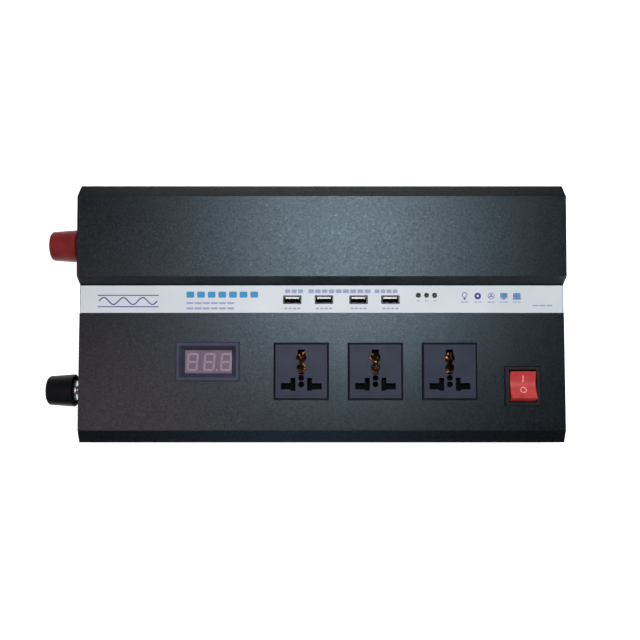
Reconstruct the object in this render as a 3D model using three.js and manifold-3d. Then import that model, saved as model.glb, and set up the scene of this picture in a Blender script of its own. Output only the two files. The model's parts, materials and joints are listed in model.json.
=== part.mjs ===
// Power inverter: an extruded aluminium case with a sloping control panel, three universal outlets,
// four USB ports, a panel meter and a rocker switch, with battery posts on one end and fans on the other.
// Millimetres, +Z up, the rubber feet stand on z = 0. The front faces -Y and the battery posts face -X.

import * as THREE from 'three';
import { mergeVertices } from 'three/addons/utils/BufferGeometryUtils.js';
import { ConvexGeometry } from 'three/addons/geometries/ConvexGeometry.js';
import Module from 'manifold-3d';

const wasm = await Module();
wasm.setup();

// ---------------------------------------------------------------------------
// Driving dimensions
// ---------------------------------------------------------------------------

const GAP = 0.3; // clearance between pieces that rest on each other

// Case section, as [y, z] points
const CASE_LENGTH = 361.5;
const PLATE_THICKNESS = 2;
const HALF_DEPTH = 97.1;
const FOOT_HEIGHT = 4;
const CREASE_Z = 78;
const REAR_EDGE = [HALF_DEPTH, 66.6];
const REAR_CREASE = [87.8, CREASE_Z];
const STEP_CREST = [27.85, 79.8];
const STEP_FOOT_Y = 21.55;
const FRONT_CREASE_Y = -87.45;
const FRONT_EDGE = [-HALF_DEPTH, 73.3];
const WALL = 2.6;

// Sloping panel: it rises from the foot of the step to the front crease
const PANEL_TILT = THREE.MathUtils.degToRad(3.42);
const PANEL_LENGTH = (STEP_FOOT_Y - FRONT_CREASE_Y) / Math.cos(PANEL_TILT);
const PANEL_FOOT_Z = CREASE_Z - PANEL_LENGTH * Math.sin(PANEL_TILT);
const STRIP = { length: 364, width: 20.6, thickness: 0.8, edge: 0.4, bed: 1.1 };

// Panel fittings: x along the case, v along the slope from the foot of the step (negative to the front)
const METER = {
  x: -85.5, v: -58, width: 48.2, height: 29.6, bodyWidth: 45.4, bodyHeight: 26.4, depth: 9, chamfer: 0.9,
  wall: 2, window: [35, 17.5], mouth: [42.6, 23.6], ledge: -2.4, ledgeThickness: 1.2,
  windowTop: -3.9, windowBottom: -5.4, boardTop: -7, boardBottom: -8.6,
};
const OUTLET = {
  x: 40.3, pitch: 55.6, v: -65.1, width: 41.6, height: 43.1, chamfer: 1.5,
  plugWidth: 36, plugHeight: 37.6, faceBack: -3.9, depth: 24,
};
const SWITCH = {
  x: 150.5, v: -76.5, width: 27.4, height: 30, chamfer: 0.8, canWidth: 24.4, canHeight: 27.2, depth: 18,
  wellWidth: 20.4, wellHeight: 24.2, wellFloor: -10.5,
};
const USB = { x: [-22.15, 1.75, 27.85, 51.85], v: -11.1, width: 13.1, height: 5.75, depth: 13.4, wall: 0.4 };
const USB_BOARD = { left: -36, right: 94, thickness: 1.6, height: 17 };
const LEDS = {
  x: [73.05, 79.15, 85.25], v: -7.8, radius: 1.6, hole: 2.5, flangeRadius: 2.1, flange: 1,
  back: -7, centre: -0.5,
};
const PROUD = 2; // height of the fittings' flanges above the panel

// Rocker
const ROCKER_TILT = THREE.MathUtils.degToRad(12.5);
const ROCKER = {
  width: 19.2, halfLength: 10, rise: 8, dip: 3.4, waist: 11.4, skirt: 5, skirtHalf: 10.6,
  pivotW: -1, pinRadius: 1.5, pinReach: 1.4, clearance: 0.25,
};

// Battery posts on the left end
const POST_Z = 38;
const POSTS = { positive: { y: 53.75, slack: 0 }, negative: { y: -60.8, slack: 2.85 } };
const POST = {
  studRadius: 4, inside: 26, hexWidth: 13, hex: 4, collarRadius: 11, collar: 2.4, collarChamfer: 0.6,
  sleeve: 5.7, sleeveLength: 5, washer: 1.6, washerBore: 4.4, washerRadius: 7.5,
};
const KNOB = {
  start: 9.75, length: 21.1, innerRadius: 12.9, innerChamfer: 0.8, outerRadius: 11.5, chamfer: 1,
  end: 3, bore: 4.3, freeBore: 2.5,
};

// Fans on the right end
const FAN = { y: 44, z: 36.4, size: 60, depth: 15, bore: 28, hub: 11.5, boltOffset: 25 };
const GUARD = { wire: 0.8, spoke: 0.64, rings: [8, 16, 24], ringOffset: 2, spokeOffset: 1 };

// End screws go into round channels inside the extrusion, at [y, z]
const SCREW_CHANNELS = [[91.1, 16], [-91.1, 16], [90.9, 64.5], [-90.9, 66]];
const SCREW = {
  shank: 1.5, head: 3.4, headTop: 2.1, rim: 1.2, headHeight: 2.2, length: 10, hole: 1.8, channel: 4,
  slot: [3.4, 0.9], slotDepth: 1.2,
};

const CORNERS = [[-1, -1], [1, -1], [-1, 1], [1, 1]];
const BOARD = { bottom: 12, thickness: 1.6, left: -168, right: 150, halfDepth: 84 };

// ---------------------------------------------------------------------------
// Solid helpers
// ---------------------------------------------------------------------------

// Bare closed triangle mesh with shared corners, turned outwards whichever way it was drawn
function toManifold(geometry) {
  const bare = new THREE.BufferGeometry();
  bare.setAttribute('position', geometry.getAttribute('position').clone());
  if (geometry.index) bare.setIndex(geometry.index.clone());
  const merged = mergeVertices(bare, 1e-4);
  const points = merged.getAttribute('position').array;
  const corners = merged.index.array;
  const at = (i) => new THREE.Vector3().fromArray(points, 3 * i);
  const triangles = [];
  let volume = 0;
  for (let i = 0; i < corners.length; i += 3) {
    const [a, b, c] = corners.slice(i, i + 3);
    if (a === b || b === c || c === a) continue;
    triangles.push([a, b, c]);
    volume += at(a).dot(at(b).cross(at(c)));
  }
  const turned = volume < 0 ? triangles.map(([a, b, c]) => [a, c, b]) : triangles;
  return new wasm.Manifold(new wasm.Mesh({
    numProp: 3,
    vertProperties: new Float32Array(points),
    triVerts: new Uint32Array(turned.flat()),
  }));
}

function toGeometry(manifold) {
  const result = manifold.getMesh();
  const geometry = new THREE.BufferGeometry();
  geometry.setAttribute('position', new THREE.BufferAttribute(result.vertProperties, 3));
  geometry.setIndex(new THREE.BufferAttribute(result.triVerts, 1));
  geometry.computeVertexNormals();
  return geometry;
}

function join(...geometries) {
  return toGeometry(geometries.map(toManifold).reduce((whole, next) => whole.add(next)));
}

function cut(base, ...tools) {
  return toGeometry(tools.map(toManifold).reduce((rest, tool) => rest.subtract(tool), toManifold(base)));
}

function box(low, high) {
  const size = high.map((value, i) => value - low[i]);
  const centre = high.map((value, i) => (value + low[i]) / 2);
  return new THREE.BoxGeometry(...size).translate(...centre);
}

// Box given by its middle in x and y, its width and height there, and its two levels in z
function block(x, y, width, height, bottom, top) {
  return box([x - width / 2, y - height / 2, bottom], [x + width / 2, y + height / 2, top]);
}

function tapered(x, y, bottomSize, topSize, bottom, top) {
  const corners = [];
  for (const [size, z] of [[bottomSize, bottom], [topSize, top]]) {
    for (const sx of [-1, 1]) {
      for (const sy of [-1, 1]) {
        corners.push(new THREE.Vector3(x + sx * size[0] / 2, y + sy * size[1] / 2, z));
      }
    }
  }
  return new ConvexGeometry(corners);
}

// Plate with a chamfered upper edge
function chamfered(x, y, width, height, bottom, top, chamfer) {
  const levels = [[0, bottom], [0, top - chamfer], [chamfer, top]];
  const corners = [];
  for (const [trim, z] of levels) {
    for (const sx of [-1, 1]) {
      for (const sy of [-1, 1]) {
        corners.push(new THREE.Vector3(x + sx * (width / 2 - trim), y + sy * (height / 2 - trim), z));
      }
    }
  }
  return new ConvexGeometry(corners);
}

function rodX(radius, x0, x1, y, z, sides = 24) {
  const rod = new THREE.CylinderGeometry(radius, radius, x1 - x0, sides);
  return rod.rotateZ(Math.PI / 2).translate((x0 + x1) / 2, y, z);
}

function rodZ(radius, bottom, top, x, y, sides = 24) {
  const rod = new THREE.CylinderGeometry(radius, radius, top - bottom, sides);
  return rod.rotateX(Math.PI / 2).translate(x, y, (bottom + top) / 2);
}

// Section of [y, z] points drawn out along x
function alongX(points, x0, x1) {
  const outline = new THREE.Shape(points.map(([y, z]) => new THREE.Vector2(y, z)));
  const toX = new THREE.Matrix4().makeBasis(
    new THREE.Vector3(0, 1, 0), new THREE.Vector3(0, 0, 1), new THREE.Vector3(1, 0, 0));
  const bar = new THREE.ExtrudeGeometry(outline, { depth: x1 - x0, bevelEnabled: false });
  return bar.applyMatrix4(toX).translate(x0, 0, 0);
}

// Section of [radius, x] points turned about an axis along x
function turnedX(points, y, z, sides = 20) {
  const profile = points.map(([radius, x]) => new THREE.Vector2(radius, x));
  return join(new THREE.LatheGeometry(profile, sides).rotateZ(-Math.PI / 2).translate(0, y, z));
}

// Section of [radius, z] points turned about an axis along z
function turnedZ(points, x, y, sides = 20) {
  const profile = points.map(([radius, z]) => new THREE.Vector2(radius, z));
  return join(new THREE.LatheGeometry(profile, sides).rotateX(Math.PI / 2).translate(x, y, 0));
}

// Moves every side of an open outline to its left by a distance, with mitred corners
function inset(points, distance) {
  const normals = points.slice(1).map((point, i) => {
    const side = new THREE.Vector2(point[0] - points[i][0], point[1] - points[i][1]).normalize();
    return new THREE.Vector2(-side.y, side.x);
  });
  return points.map((point, i) => {
    const before = normals[Math.max(i - 1, 0)];
    const after = normals[Math.min(i, normals.length - 1)];
    const shift = before.clone().add(after).multiplyScalar(distance / (1 + before.dot(after)));
    return [point[0] + shift.x, point[1] + shift.y];
  });
}

// ---------------------------------------------------------------------------
// Scene graph: the case frame and, inside it, the tilted panel frame
// ---------------------------------------------------------------------------

const LEFT = -CASE_LENGTH / 2 - PLATE_THICKNESS;
const RIGHT = CASE_LENGTH / 2 + PLATE_THICKNESS;
const KNOB_TIP = LEFT - KNOB.start - KNOB.length - POSTS.negative.slack;
const GUARD_TIP = RIGHT + GUARD.ringOffset + GUARD.wire;

const inverter = new THREE.Group();
inverter.position.x = -(KNOB_TIP + GUARD_TIP) / 2; // the whole stands centred over the origin

const panel = new THREE.Group();
panel.position.set(0, STEP_FOOT_Y, PANEL_FOOT_Z);
panel.rotation.x = -PANEL_TILT;
panel.updateMatrix();
inverter.add(panel);

// Case [y, z] of a panel place [v, w]: v along the slope, w square to it
function panelPoint(v, w) {
  const place = new THREE.Vector3(0, v, w).applyMatrix4(panel.matrix);
  return [place.y, place.z];
}

const LOOKS = {
  powderCoat: [0x1e2023, 0.62, 0.2],
  steel: [0xb9bcc0, 0.3, 0.9],
  blackSteel: [0x191a1c, 0.45, 0.7],
  rubber: [0x121213, 0.9, 0],
  strip: [0xe8e8ea, 0.45, 0],
  slatePlastic: [0x34363f, 0.5, 0],
  blackPlastic: [0x141416, 0.45, 0],
  greyPlastic: [0x5a5d62, 0.5, 0],
  mauveWindow: [0x7d6c80, 0.2, 0],
  board: [0x1f5a35, 0.6, 0],
  redRocker: [0xc84b50, 0.35, 0],
  redPlastic: [0x6b1e1e, 0.4, 0],
  brass: [0xb98a4a, 0.3, 0.9],
  greenLed: [0x234632, 0.2, 0],
  ferrite: [0x2b2b2e, 0.7, 0],
  aluminium: [0xa8abb0, 0.4, 0.9],
};

function piece(name, look, geometry, parent = inverter) {
  const [color, roughness, metalness] = LOOKS[look];
  const mesh = new THREE.Mesh(geometry, new THREE.MeshStandardMaterial({ color, roughness, metalness }));
  mesh.name = name;
  parent.add(mesh);
  return mesh;
}

// ---------------------------------------------------------------------------
// Case
// ---------------------------------------------------------------------------

const OUTLET_XS = [-1, 0, 1].map((step) => OUTLET.x + step * OUTLET.pitch);

function caseOutline(bed) {
  return [
    [HALF_DEPTH, FOOT_HEIGHT], REAR_EDGE, REAR_CREASE, STEP_CREST, ...bed, FRONT_EDGE,
    [-HALF_DEPTH, FOOT_HEIGHT],
  ];
}

const BED_FRONT = -STRIP.edge - STRIP.width - STRIP.edge;
const CASE_OUTLINE = caseOutline([
  panelPoint(0, -STRIP.bed), panelPoint(BED_FRONT, -STRIP.bed), panelPoint(BED_FRONT, 0),
  panelPoint(-PANEL_LENGTH, 0),
]);

function panelCutouts() {
  const depth = 12;
  const holes = [
    block(METER.x, METER.v, METER.bodyWidth + 2 * GAP, METER.bodyHeight + 2 * GAP, -depth, depth),
    block(SWITCH.x, SWITCH.v, SWITCH.canWidth + 2 * GAP, SWITCH.canHeight + 2 * GAP, -depth, depth),
  ];
  for (const x of OUTLET_XS) {
    holes.push(block(x, OUTLET.v, OUTLET.plugWidth + 2 * GAP, OUTLET.plugHeight + 2 * GAP, -depth, depth));
  }
  for (const x of USB.x) {
    holes.push(block(x, USB.v, USB.width + 2 * GAP, USB.height + 2 * GAP, -depth, depth));
  }
  for (const x of LEDS.x) holes.push(rodZ(LEDS.hole, -depth, depth, x, LEDS.v, 16));
  return holes.map((hole) => hole.applyMatrix4(panel.matrix));
}

// Long shallow grooves along both side walls
function wallGrooves() {
  const groove = { count: 6, first: 22, pitch: 7, height: 2.6, depth: 1 };
  const grooves = [];
  for (let i = 0; i < groove.count; i += 1) {
    const bottom = groove.first + i * groove.pitch;
    const top = bottom + groove.height;
    for (const side of [-1, 1]) {
      const ys = [side * (HALF_DEPTH - groove.depth), side * (HALF_DEPTH + groove.depth)];
      grooves.push(box([-RIGHT, Math.min(...ys), bottom], [RIGHT, Math.max(...ys), top]));
    }
  }
  return grooves;
}

function makeTopHousing() {
  const half = CASE_LENGTH / 2;
  const lowered = caseOutline([panelPoint(0, -STRIP.bed), panelPoint(-PANEL_LENGTH, -STRIP.bed)]);
  const shell = alongX([...CASE_OUTLINE, ...inset(lowered, WALL).reverse()], -half, half);
  const channels = SCREW_CHANNELS.map(([y, z]) => rodX(SCREW.channel, -half, half, y, z, 12));
  const bores = SCREW_CHANNELS.map(([y, z]) => rodX(SCREW.hole, -half - 1, half + 1, y, z, 10));
  return cut(join(shell, ...channels), ...bores, ...panelCutouts(), ...wallGrooves());
}

function makeBottomCover() {
  const half = CASE_LENGTH / 2 - GAP;
  const sheet = 1.8;
  const lip = 6;
  const post = { radius: 3.5, middle: -9, pitch: 145, y: 74 };
  const vent = { count: 7, first: -60, pitch: 20, width: 4.5, length: 42, y: 40 };
  const side = HALF_DEPTH - WALL - GAP;
  const floor = FOOT_HEIGHT + sheet;
  const section = [
    [-side, FOOT_HEIGHT], [side, FOOT_HEIGHT], [side, floor + lip], [side - sheet, floor + lip],
    [side - sheet, floor], [sheet - side, floor], [sheet - side, floor + lip], [-side, floor + lip],
  ];
  const posts = [-1, 0, 1].flatMap((i) => [-1, 1].map((j) => (
    rodZ(post.radius, floor - 1, BOARD.bottom, post.middle + i * post.pitch, j * post.y, 12))));
  const slots = [];
  for (let i = 0; i < vent.count; i += 1) {
    const x = vent.first + i * vent.pitch;
    for (const y of [-vent.y, vent.y]) slots.push(block(x, y, vent.width, vent.length, 0, floor + 1));
  }
  return cut(join(alongX(section, -half, half), ...posts), ...slots);
}

function endPlate(x0, x1, holes) {
  const screwHoles = SCREW_CHANNELS.map(([y, z]) => rodX(SCREW.hole, x0 - 1, x1 + 1, y, z, 12));
  return cut(alongX(CASE_OUTLINE, x0, x1), ...screwHoles, ...holes);
}

function makeLeftPlate() {
  const x1 = LEFT + PLATE_THICKNESS;
  const holes = Object.values(POSTS).map((post) => rodX(POST.sleeve + GAP, LEFT - 1, x1 + 1, post.y, POST_Z));
  const vent = { count: 11, pitch: 6, width: 2.6, bottom: 22, top: 54, middle: -3.6 };
  for (let i = 0; i < vent.count; i += 1) {
    const y = vent.middle + (i - (vent.count - 1) / 2) * vent.pitch;
    holes.push(box([LEFT - 1, y - vent.width / 2, vent.bottom], [x1 + 1, y + vent.width / 2, vent.top]));
  }
  return endPlate(LEFT, x1, holes);
}

function makeRightPlate() {
  const x0 = RIGHT - PLATE_THICKNESS;
  const holes = [];
  for (const y of [FAN.y, -FAN.y]) {
    holes.push(rodX(FAN.bore, x0 - 1, RIGHT + 1, y, FAN.z, 32));
    for (const [dy, dz] of CORNERS) {
      const place = [y + dy * FAN.boltOffset, FAN.z + dz * FAN.boltOffset];
      holes.push(rodX(SCREW.hole, x0 - 1, RIGHT + 1, ...place, 10));
    }
  }
  return endPlate(x0, RIGHT, holes);
}

function makeLabelStrip() {
  const half = STRIP.length / 2;
  const back = -STRIP.edge;
  const blank = box([-half, back - STRIP.width, -STRIP.thickness], [half, back, 0]);
  const slots = USB.x.map((x) => block(x, USB.v, USB.width + GAP, USB.height + GAP, -3, 3));
  const holes = LEDS.x.map((x) => rodZ(LEDS.radius + GAP, -3, 3, x, LEDS.v, 20));
  return cut(blank, ...slots, ...holes);
}

piece('top_housing', 'powderCoat', makeTopHousing());
piece('bottom_cover', 'powderCoat', makeBottomCover());
piece('left_end_plate', 'powderCoat', makeLeftPlate());
piece('right_end_plate', 'powderCoat', makeRightPlate());
piece('label_strip', 'strip', makeLabelStrip(), panel);

// Pan-head cross screw lying along x, with its head on the outer face of an end plate
function endScrew(face, outward, y, z) {
  const headEnd = face + outward * SCREW.headHeight;
  const tip = face - outward * SCREW.length;
  const body = turnedX([
    [0, tip], [SCREW.shank, tip + outward], [SCREW.shank, face], [SCREW.head, face],
    [SCREW.head, face + outward * SCREW.rim], [SCREW.headTop, headEnd], [0, headEnd],
  ], y, z, 12);
  const ends = [headEnd - outward * SCREW.slotDepth, headEnd + outward];
  const slots = [SCREW.slot, [...SCREW.slot].reverse()].map(([dy, dz]) => box(
    [Math.min(...ends), y - dy / 2, z - dz / 2], [Math.max(...ends), y + dy / 2, z + dz / 2]));
  return cut(body, ...slots);
}

SCREW_CHANNELS.forEach(([y, z], i) => {
  piece(`left_screw_${i + 1}`, 'blackSteel', endScrew(LEFT, -1, y, z));
  piece(`right_screw_${i + 1}`, 'blackSteel', endScrew(RIGHT, 1, y, z));
});

const FOOT = { radius: 8, topRadius: 9, x: 155, y: 74 };
CORNERS.forEach(([sx, sy], i) => {
  const profile = [[0, 0], [FOOT.radius, 0], [FOOT.topRadius, FOOT_HEIGHT], [0, FOOT_HEIGHT]];
  piece(`foot_${i + 1}`, 'rubber', turnedZ(profile, sx * FOOT.x, sy * FOOT.y));
});

// ---------------------------------------------------------------------------
// Panel meter
// ---------------------------------------------------------------------------

const METER_INSIDE = [METER.bodyWidth - 2 * METER.wall, METER.bodyHeight - 2 * METER.wall];

function makeMeterBezel() {
  const { x, v, window, mouth, ledge } = METER;
  const above = PROUD + 1;
  const blank = join(
    chamfered(x, v, METER.width, METER.height, GAP, PROUD + GAP, METER.chamfer),
    block(x, v, METER.bodyWidth, METER.bodyHeight, -METER.depth, PROUD));
  const share = (PROUD + GAP - ledge) / (above - ledge);
  const mouthAbove = mouth.map((size, i) => window[i] + (size - window[i]) / share);
  return cut(blank,
    tapered(x, v, window, mouthAbove, ledge, above),
    block(x, v, ...window, ledge - 2, ledge + 0.2),
    block(x, v, ...METER_INSIDE, -METER.depth - 1, ledge - METER.ledgeThickness));
}

// Flat plate that fits inside the bezel's frame
function meterInsert(bottom, top) {
  return block(METER.x, METER.v, ...METER_INSIDE.map((size) => size - 2 * GAP), bottom, top);
}

piece('meter_bezel', 'slatePlastic', makeMeterBezel(), panel);
piece('meter_window', 'mauveWindow', meterInsert(METER.windowBottom, METER.windowTop), panel);
piece('meter_board', 'board', meterInsert(METER.boardBottom, METER.boardTop), panel);

// ---------------------------------------------------------------------------
// Rocker switch
// ---------------------------------------------------------------------------

function makeSwitchBody() {
  const { x, v } = SWITCH;
  const blank = join(
    chamfered(x, v, SWITCH.width, SWITCH.height, GAP, PROUD + GAP, SWITCH.chamfer),
    block(x, v, SWITCH.canWidth, SWITCH.canHeight, -SWITCH.depth, PROUD));
  const well = block(x, v, SWITCH.wellWidth, SWITCH.wellHeight, SWITCH.wellFloor, PROUD + 1);
  const reach = ROCKER.width / 2 + ROCKER.pinReach + ROCKER.clearance;
  const socketRadius = ROCKER.pinRadius + ROCKER.clearance;
  return cut(blank, well, rodX(socketRadius, x - reach, x + reach, v, ROCKER.pivotW));
}

// Rocker about its own pivot, level: a hollow-curved top between two ends that flare down to a waist
function makeRocker() {
  const { halfLength, rise, dip, waist, skirt, skirtHalf, width } = ROCKER;
  const steps = 8;
  const top = Array.from({ length: steps + 1 }, (_, i) => {
    const y = halfLength * (1 - 2 * i / steps);
    return [y, dip + (rise - dip) * (y / halfLength) ** 2];
  });
  const section = [[-waist, 0], [-skirtHalf, -skirt], [skirtHalf, -skirt], [waist, 0], ...top];
  const reach = width / 2 + ROCKER.pinReach;
  const pins = rodX(ROCKER.pinRadius, -reach, reach, 0, 0, 16);
  return join(alongX(section, -width / 2, width / 2), pins);
}

piece('switch_body', 'blackPlastic', makeSwitchBody(), panel);
const rocker = piece('switch_rocker', 'redRocker', makeRocker(), panel);
rocker.position.set(SWITCH.x, SWITCH.v, ROCKER.pivotW);
rocker.rotation.x = -ROCKER_TILT; // the rear half is pressed in

// ---------------------------------------------------------------------------
// Outlets
// ---------------------------------------------------------------------------

const EARTH = {
  top: 16.2, topWidth: 5.3, upper: 10.1, upperRadius: 3.8, neck: 3.6, lower: 2.8, lowerRadius: 3.3,
  tail: -2.2, tailWidth: 4.1,
};
const ROUND_HOLES = { radius: 2.15, v: [-4.95, -9.8] };
const PIN_SLOT = {
  inner: 4.4, outer: 15.2, back: -8.9, front: -13.5, tall: 3.6, tallBack: -4.9, tallFront: -14.5,
};
const SHUTTER = {
  top: OUTLET.faceBack - GAP, thickness: 2.4, travel: 8.3, back: -8.2, front: -14.8, halfWidth: 15.6,
  notchWidth: 5.6, notchFront: -13,
};
const CONTACT = { v: 7.2, half: 4, length: 17, top: -8.6, bottom: -20, wall: 0.9 };

function earthAperture(x, v, low, high) {
  const { top, topWidth, upper, upperRadius, neck, lower, lowerRadius, tail, tailWidth } = EARTH;
  return join(
    block(x, v + (top + upper) / 2, topWidth, top - upper, low, high),
    rodZ(upperRadius, low, high, x, v + upper, 20),
    block(x, v + (upper + lower) / 2, neck, upper - lower, low, high),
    rodZ(lowerRadius, low, high, x, v + lower, 20),
    block(x, v + (lower + tail) / 2, tailWidth, lower - tail, low, high));
}

// Opening for one flat or round pin, on one side of the centre line: a wide slot with a tall inner end
function pinAperture(x, v, side, low, high) {
  const { inner, outer, back, front, tall, tallBack, tallFront } = PIN_SLOT;
  const wideX = x + side * (inner + outer) / 2;
  const tallX = x + side * (inner + tall / 2);
  return join(
    block(wideX, v + (back + front) / 2, outer - inner, back - front, low, high),
    block(tallX, v + (tallBack + tallFront) / 2, tall, tallBack - tallFront, low, high));
}

function makeOutletFace(x, v) {
  const low = OUTLET.faceBack - 1;
  const high = PROUD + 1;
  const blank = join(
    chamfered(x, v, OUTLET.width, OUTLET.height, GAP, PROUD + GAP, OUTLET.chamfer),
    block(x, v, OUTLET.plugWidth, OUTLET.plugHeight, OUTLET.faceBack, PROUD));
  return cut(blank, earthAperture(x, v, low, high),
    pinAperture(x, v, -1, low, high), pinAperture(x, v, 1, low, high),
    ...ROUND_HOLES.v.map((dv) => rodZ(ROUND_HOLES.radius, low, high, x, v + dv, 16)));
}

// Housing behind the face: a shallow tray in which the shutter slides, over three contact wells
function makeOutletBody(x, v) {
  const tray = {
    half: SHUTTER.halfWidth + GAP, floor: SHUTTER.top - SHUTTER.thickness - GAP,
    front: SHUTTER.front - GAP, back: SHUTTER.back + SHUTTER.travel + GAP,
  };
  const well = { inner: 4.1, back: -4.3, floor: 2 - OUTLET.depth };
  const pocket = { width: 9.4, length: CONTACT.length + 2.4 };
  const wells = [-1, 1].map((side) => block(
    x + side * (well.inner + tray.half) / 2, v + (well.back + tray.front) / 2,
    tray.half - well.inner, well.back - tray.front, well.floor, 0));
  return cut(block(x, v, OUTLET.plugWidth, OUTLET.plugHeight, -OUTLET.depth, OUTLET.faceBack - GAP),
    ...wells,
    block(x, v + (tray.back + tray.front) / 2, 2 * tray.half, tray.back - tray.front, tray.floor, 0),
    block(x, v + CONTACT.v, pocket.width, pocket.length, well.floor, 0));
}

// Sliding plate under both pin slots, open at the back on the centre line for the earth pin
function makeShutter(x, v) {
  const { top, thickness, back, front, halfWidth, notchWidth, notchFront } = SHUTTER;
  const plate = block(x, v + (back + front) / 2, 2 * halfWidth, back - front, top - thickness, top);
  const notchBack = back + 1;
  return cut(plate, block(x, v + (notchBack + notchFront) / 2, notchWidth, notchBack - notchFront,
    top - thickness - 1, top + 1));
}

// Folded spring strip, open at the top to grip a pin
function makeEarthContact(x, v) {
  const { half, length, top, bottom, wall } = CONTACT;
  const channel = block(x, v + CONTACT.v, 2 * half, length, bottom, top);
  return cut(channel, block(x, v + CONTACT.v, 2 * (half - wall), length + 1, bottom + wall, top + 1));
}

OUTLET_XS.forEach((x, i) => {
  const name = `outlet_${i + 1}`;
  piece(`${name}_face`, 'slatePlastic', makeOutletFace(x, OUTLET.v), panel);
  piece(`${name}_body`, 'blackPlastic', makeOutletBody(x, OUTLET.v), panel);
  piece(`${name}_shutter`, 'greyPlastic', makeShutter(x, OUTLET.v), panel);
  piece(`${name}_earth_contact`, 'brass', makeEarthContact(x, OUTLET.v), panel);
});

// ---------------------------------------------------------------------------
// USB ports and indicator lamps
// ---------------------------------------------------------------------------

USB.x.forEach((x, i) => {
  const shell = block(x, USB.v, USB.width, USB.height, -USB.depth, GAP);
  const inside = [USB.width - 2 * USB.wall, USB.height - 2 * USB.wall];
  const cavity = block(x, USB.v, ...inside, -USB.depth + 1, 1);
  piece(`usb_port_${i + 1}`, 'steel', cut(shell, cavity), panel);
});

const USB_BOARD_TOP = -USB.depth - GAP;
piece('usb_board', 'board', block(
  (USB_BOARD.left + USB_BOARD.right) / 2, USB.v, USB_BOARD.right - USB_BOARD.left, USB_BOARD.height,
  USB_BOARD_TOP - USB_BOARD.thickness, USB_BOARD_TOP), panel);

LEDS.x.forEach((x, i) => {
  const { radius, flangeRadius, back, flange, centre } = LEDS;
  const steps = 4;
  const dome = Array.from({ length: steps }, (_, k) => {
    const angle = (k / steps) * (Math.PI / 2);
    return [radius * Math.cos(angle), centre + radius * Math.sin(angle)];
  });
  const profile = [
    [0, back], [flangeRadius, back], [flangeRadius, back + flange], [radius, back + flange],
    ...dome, [0, centre + radius],
  ];
  piece(`led_${i + 1}`, 'greenLed', turnedZ(profile, x, LEDS.v, 12), panel);
});

// ---------------------------------------------------------------------------
// Battery posts
// ---------------------------------------------------------------------------

// Insulating bush: a sleeve through the end plate with a collar outside it
function makeCollar(y) {
  const { collar, collarRadius, collarChamfer, sleeve, sleeveLength } = POST;
  const inner = LEFT + sleeveLength;
  const outer = LEFT - collar;
  return turnedX([
    [KNOB.bore, inner], [sleeve, inner], [sleeve, LEFT], [collarRadius, LEFT],
    [collarRadius, outer + collarChamfer], [collarRadius - collarChamfer, outer],
    [KNOB.bore, outer], [KNOB.bore, inner],
  ], y, POST_Z);
}

// Threaded post with a hexagonal nut that clamps the collar
function makeStud(y) {
  const nutStart = LEFT - POST.collar - GAP;
  const tip = LEFT - KNOB.start - KNOB.length + KNOB.end + KNOB.freeBore;
  const rod = rodX(POST.studRadius, tip, LEFT + POST.inside, y, POST_Z, 16);
  const hexRadius = POST.hexWidth / 2 / Math.cos(Math.PI / 6);
  return join(rod, rodX(hexRadius, nutStart - POST.hex, nutStart, y, POST_Z, 6));
}

function makeWasher(y, slack) {
  const face = LEFT - KNOB.start + GAP - slack;
  const back = face + POST.washer;
  const { washerBore, washerRadius } = POST;
  return turnedX([
    [washerBore, back], [washerRadius, back], [washerRadius, face], [washerBore, face], [washerBore, back],
  ], y, POST_Z);
}

// Insulated knob with a blind bore for the post
function makeKnob(y, slack) {
  const start = LEFT - KNOB.start - slack;
  const tip = start - KNOB.length;
  return turnedX([
    [0, tip + KNOB.end], [KNOB.bore, tip + KNOB.end], [KNOB.bore, start],
    [KNOB.innerRadius - KNOB.innerChamfer, start], [KNOB.innerRadius, start - KNOB.innerChamfer],
    [KNOB.outerRadius, tip + KNOB.chamfer], [KNOB.outerRadius - KNOB.chamfer, tip], [0, tip],
  ], y, POST_Z, 28);
}

for (const [name, { y, slack }] of Object.entries(POSTS)) {
  const colour = name === 'positive' ? 'redPlastic' : 'blackPlastic';
  piece(`${name}_collar`, colour, makeCollar(y));
  piece(`${name}_stud`, 'steel', makeStud(y));
  piece(`${name}_washer`, 'steel', makeWasher(y, slack));
  piece(`${name}_knob`, colour, makeKnob(y, slack));
}

// ---------------------------------------------------------------------------
// Fans
// ---------------------------------------------------------------------------

const FAN_FRONT = RIGHT - PLATE_THICKNESS - GAP;
const FAN_BACK = FAN_FRONT - FAN.depth;
const SPINDLE = { radius: 1.5, length: 9, clearance: 0.3, socket: 6 };

// Square frame with a round duct; four struts carry the motor disc and spindle at its inner end
function makeFanFrame(y) {
  const { z } = FAN;
  const half = FAN.size / 2;
  const disc = 3;
  const strut = { width: 3, overlap: 1 };
  const duct = cut(
    box([FAN_BACK, y - half, z - half], [FAN_FRONT, y + half, z + half]),
    rodX(FAN.bore, FAN_BACK - 1, FAN_FRONT + 1, y, z, 32),
    ...CORNERS.map(([dy, dz]) => rodX(SCREW.hole, FAN_BACK - 1, FAN_FRONT + 1,
      y + dy * FAN.boltOffset, z + dz * FAN.boltOffset, 8)));
  const struts = [0, 1].map((i) => {
    const bar = new THREE.BoxGeometry(disc, 2 * (FAN.bore + strut.overlap), strut.width);
    return bar.rotateX(Math.PI / 4 + i * Math.PI / 2).translate(FAN_BACK + disc / 2, y, z);
  });
  return join(duct, ...struts, rodX(FAN.hub, FAN_BACK, FAN_BACK + disc, y, z),
    rodX(SPINDLE.radius, FAN_BACK, FAN_BACK + SPINDLE.length, y, z, 12));
}

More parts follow.
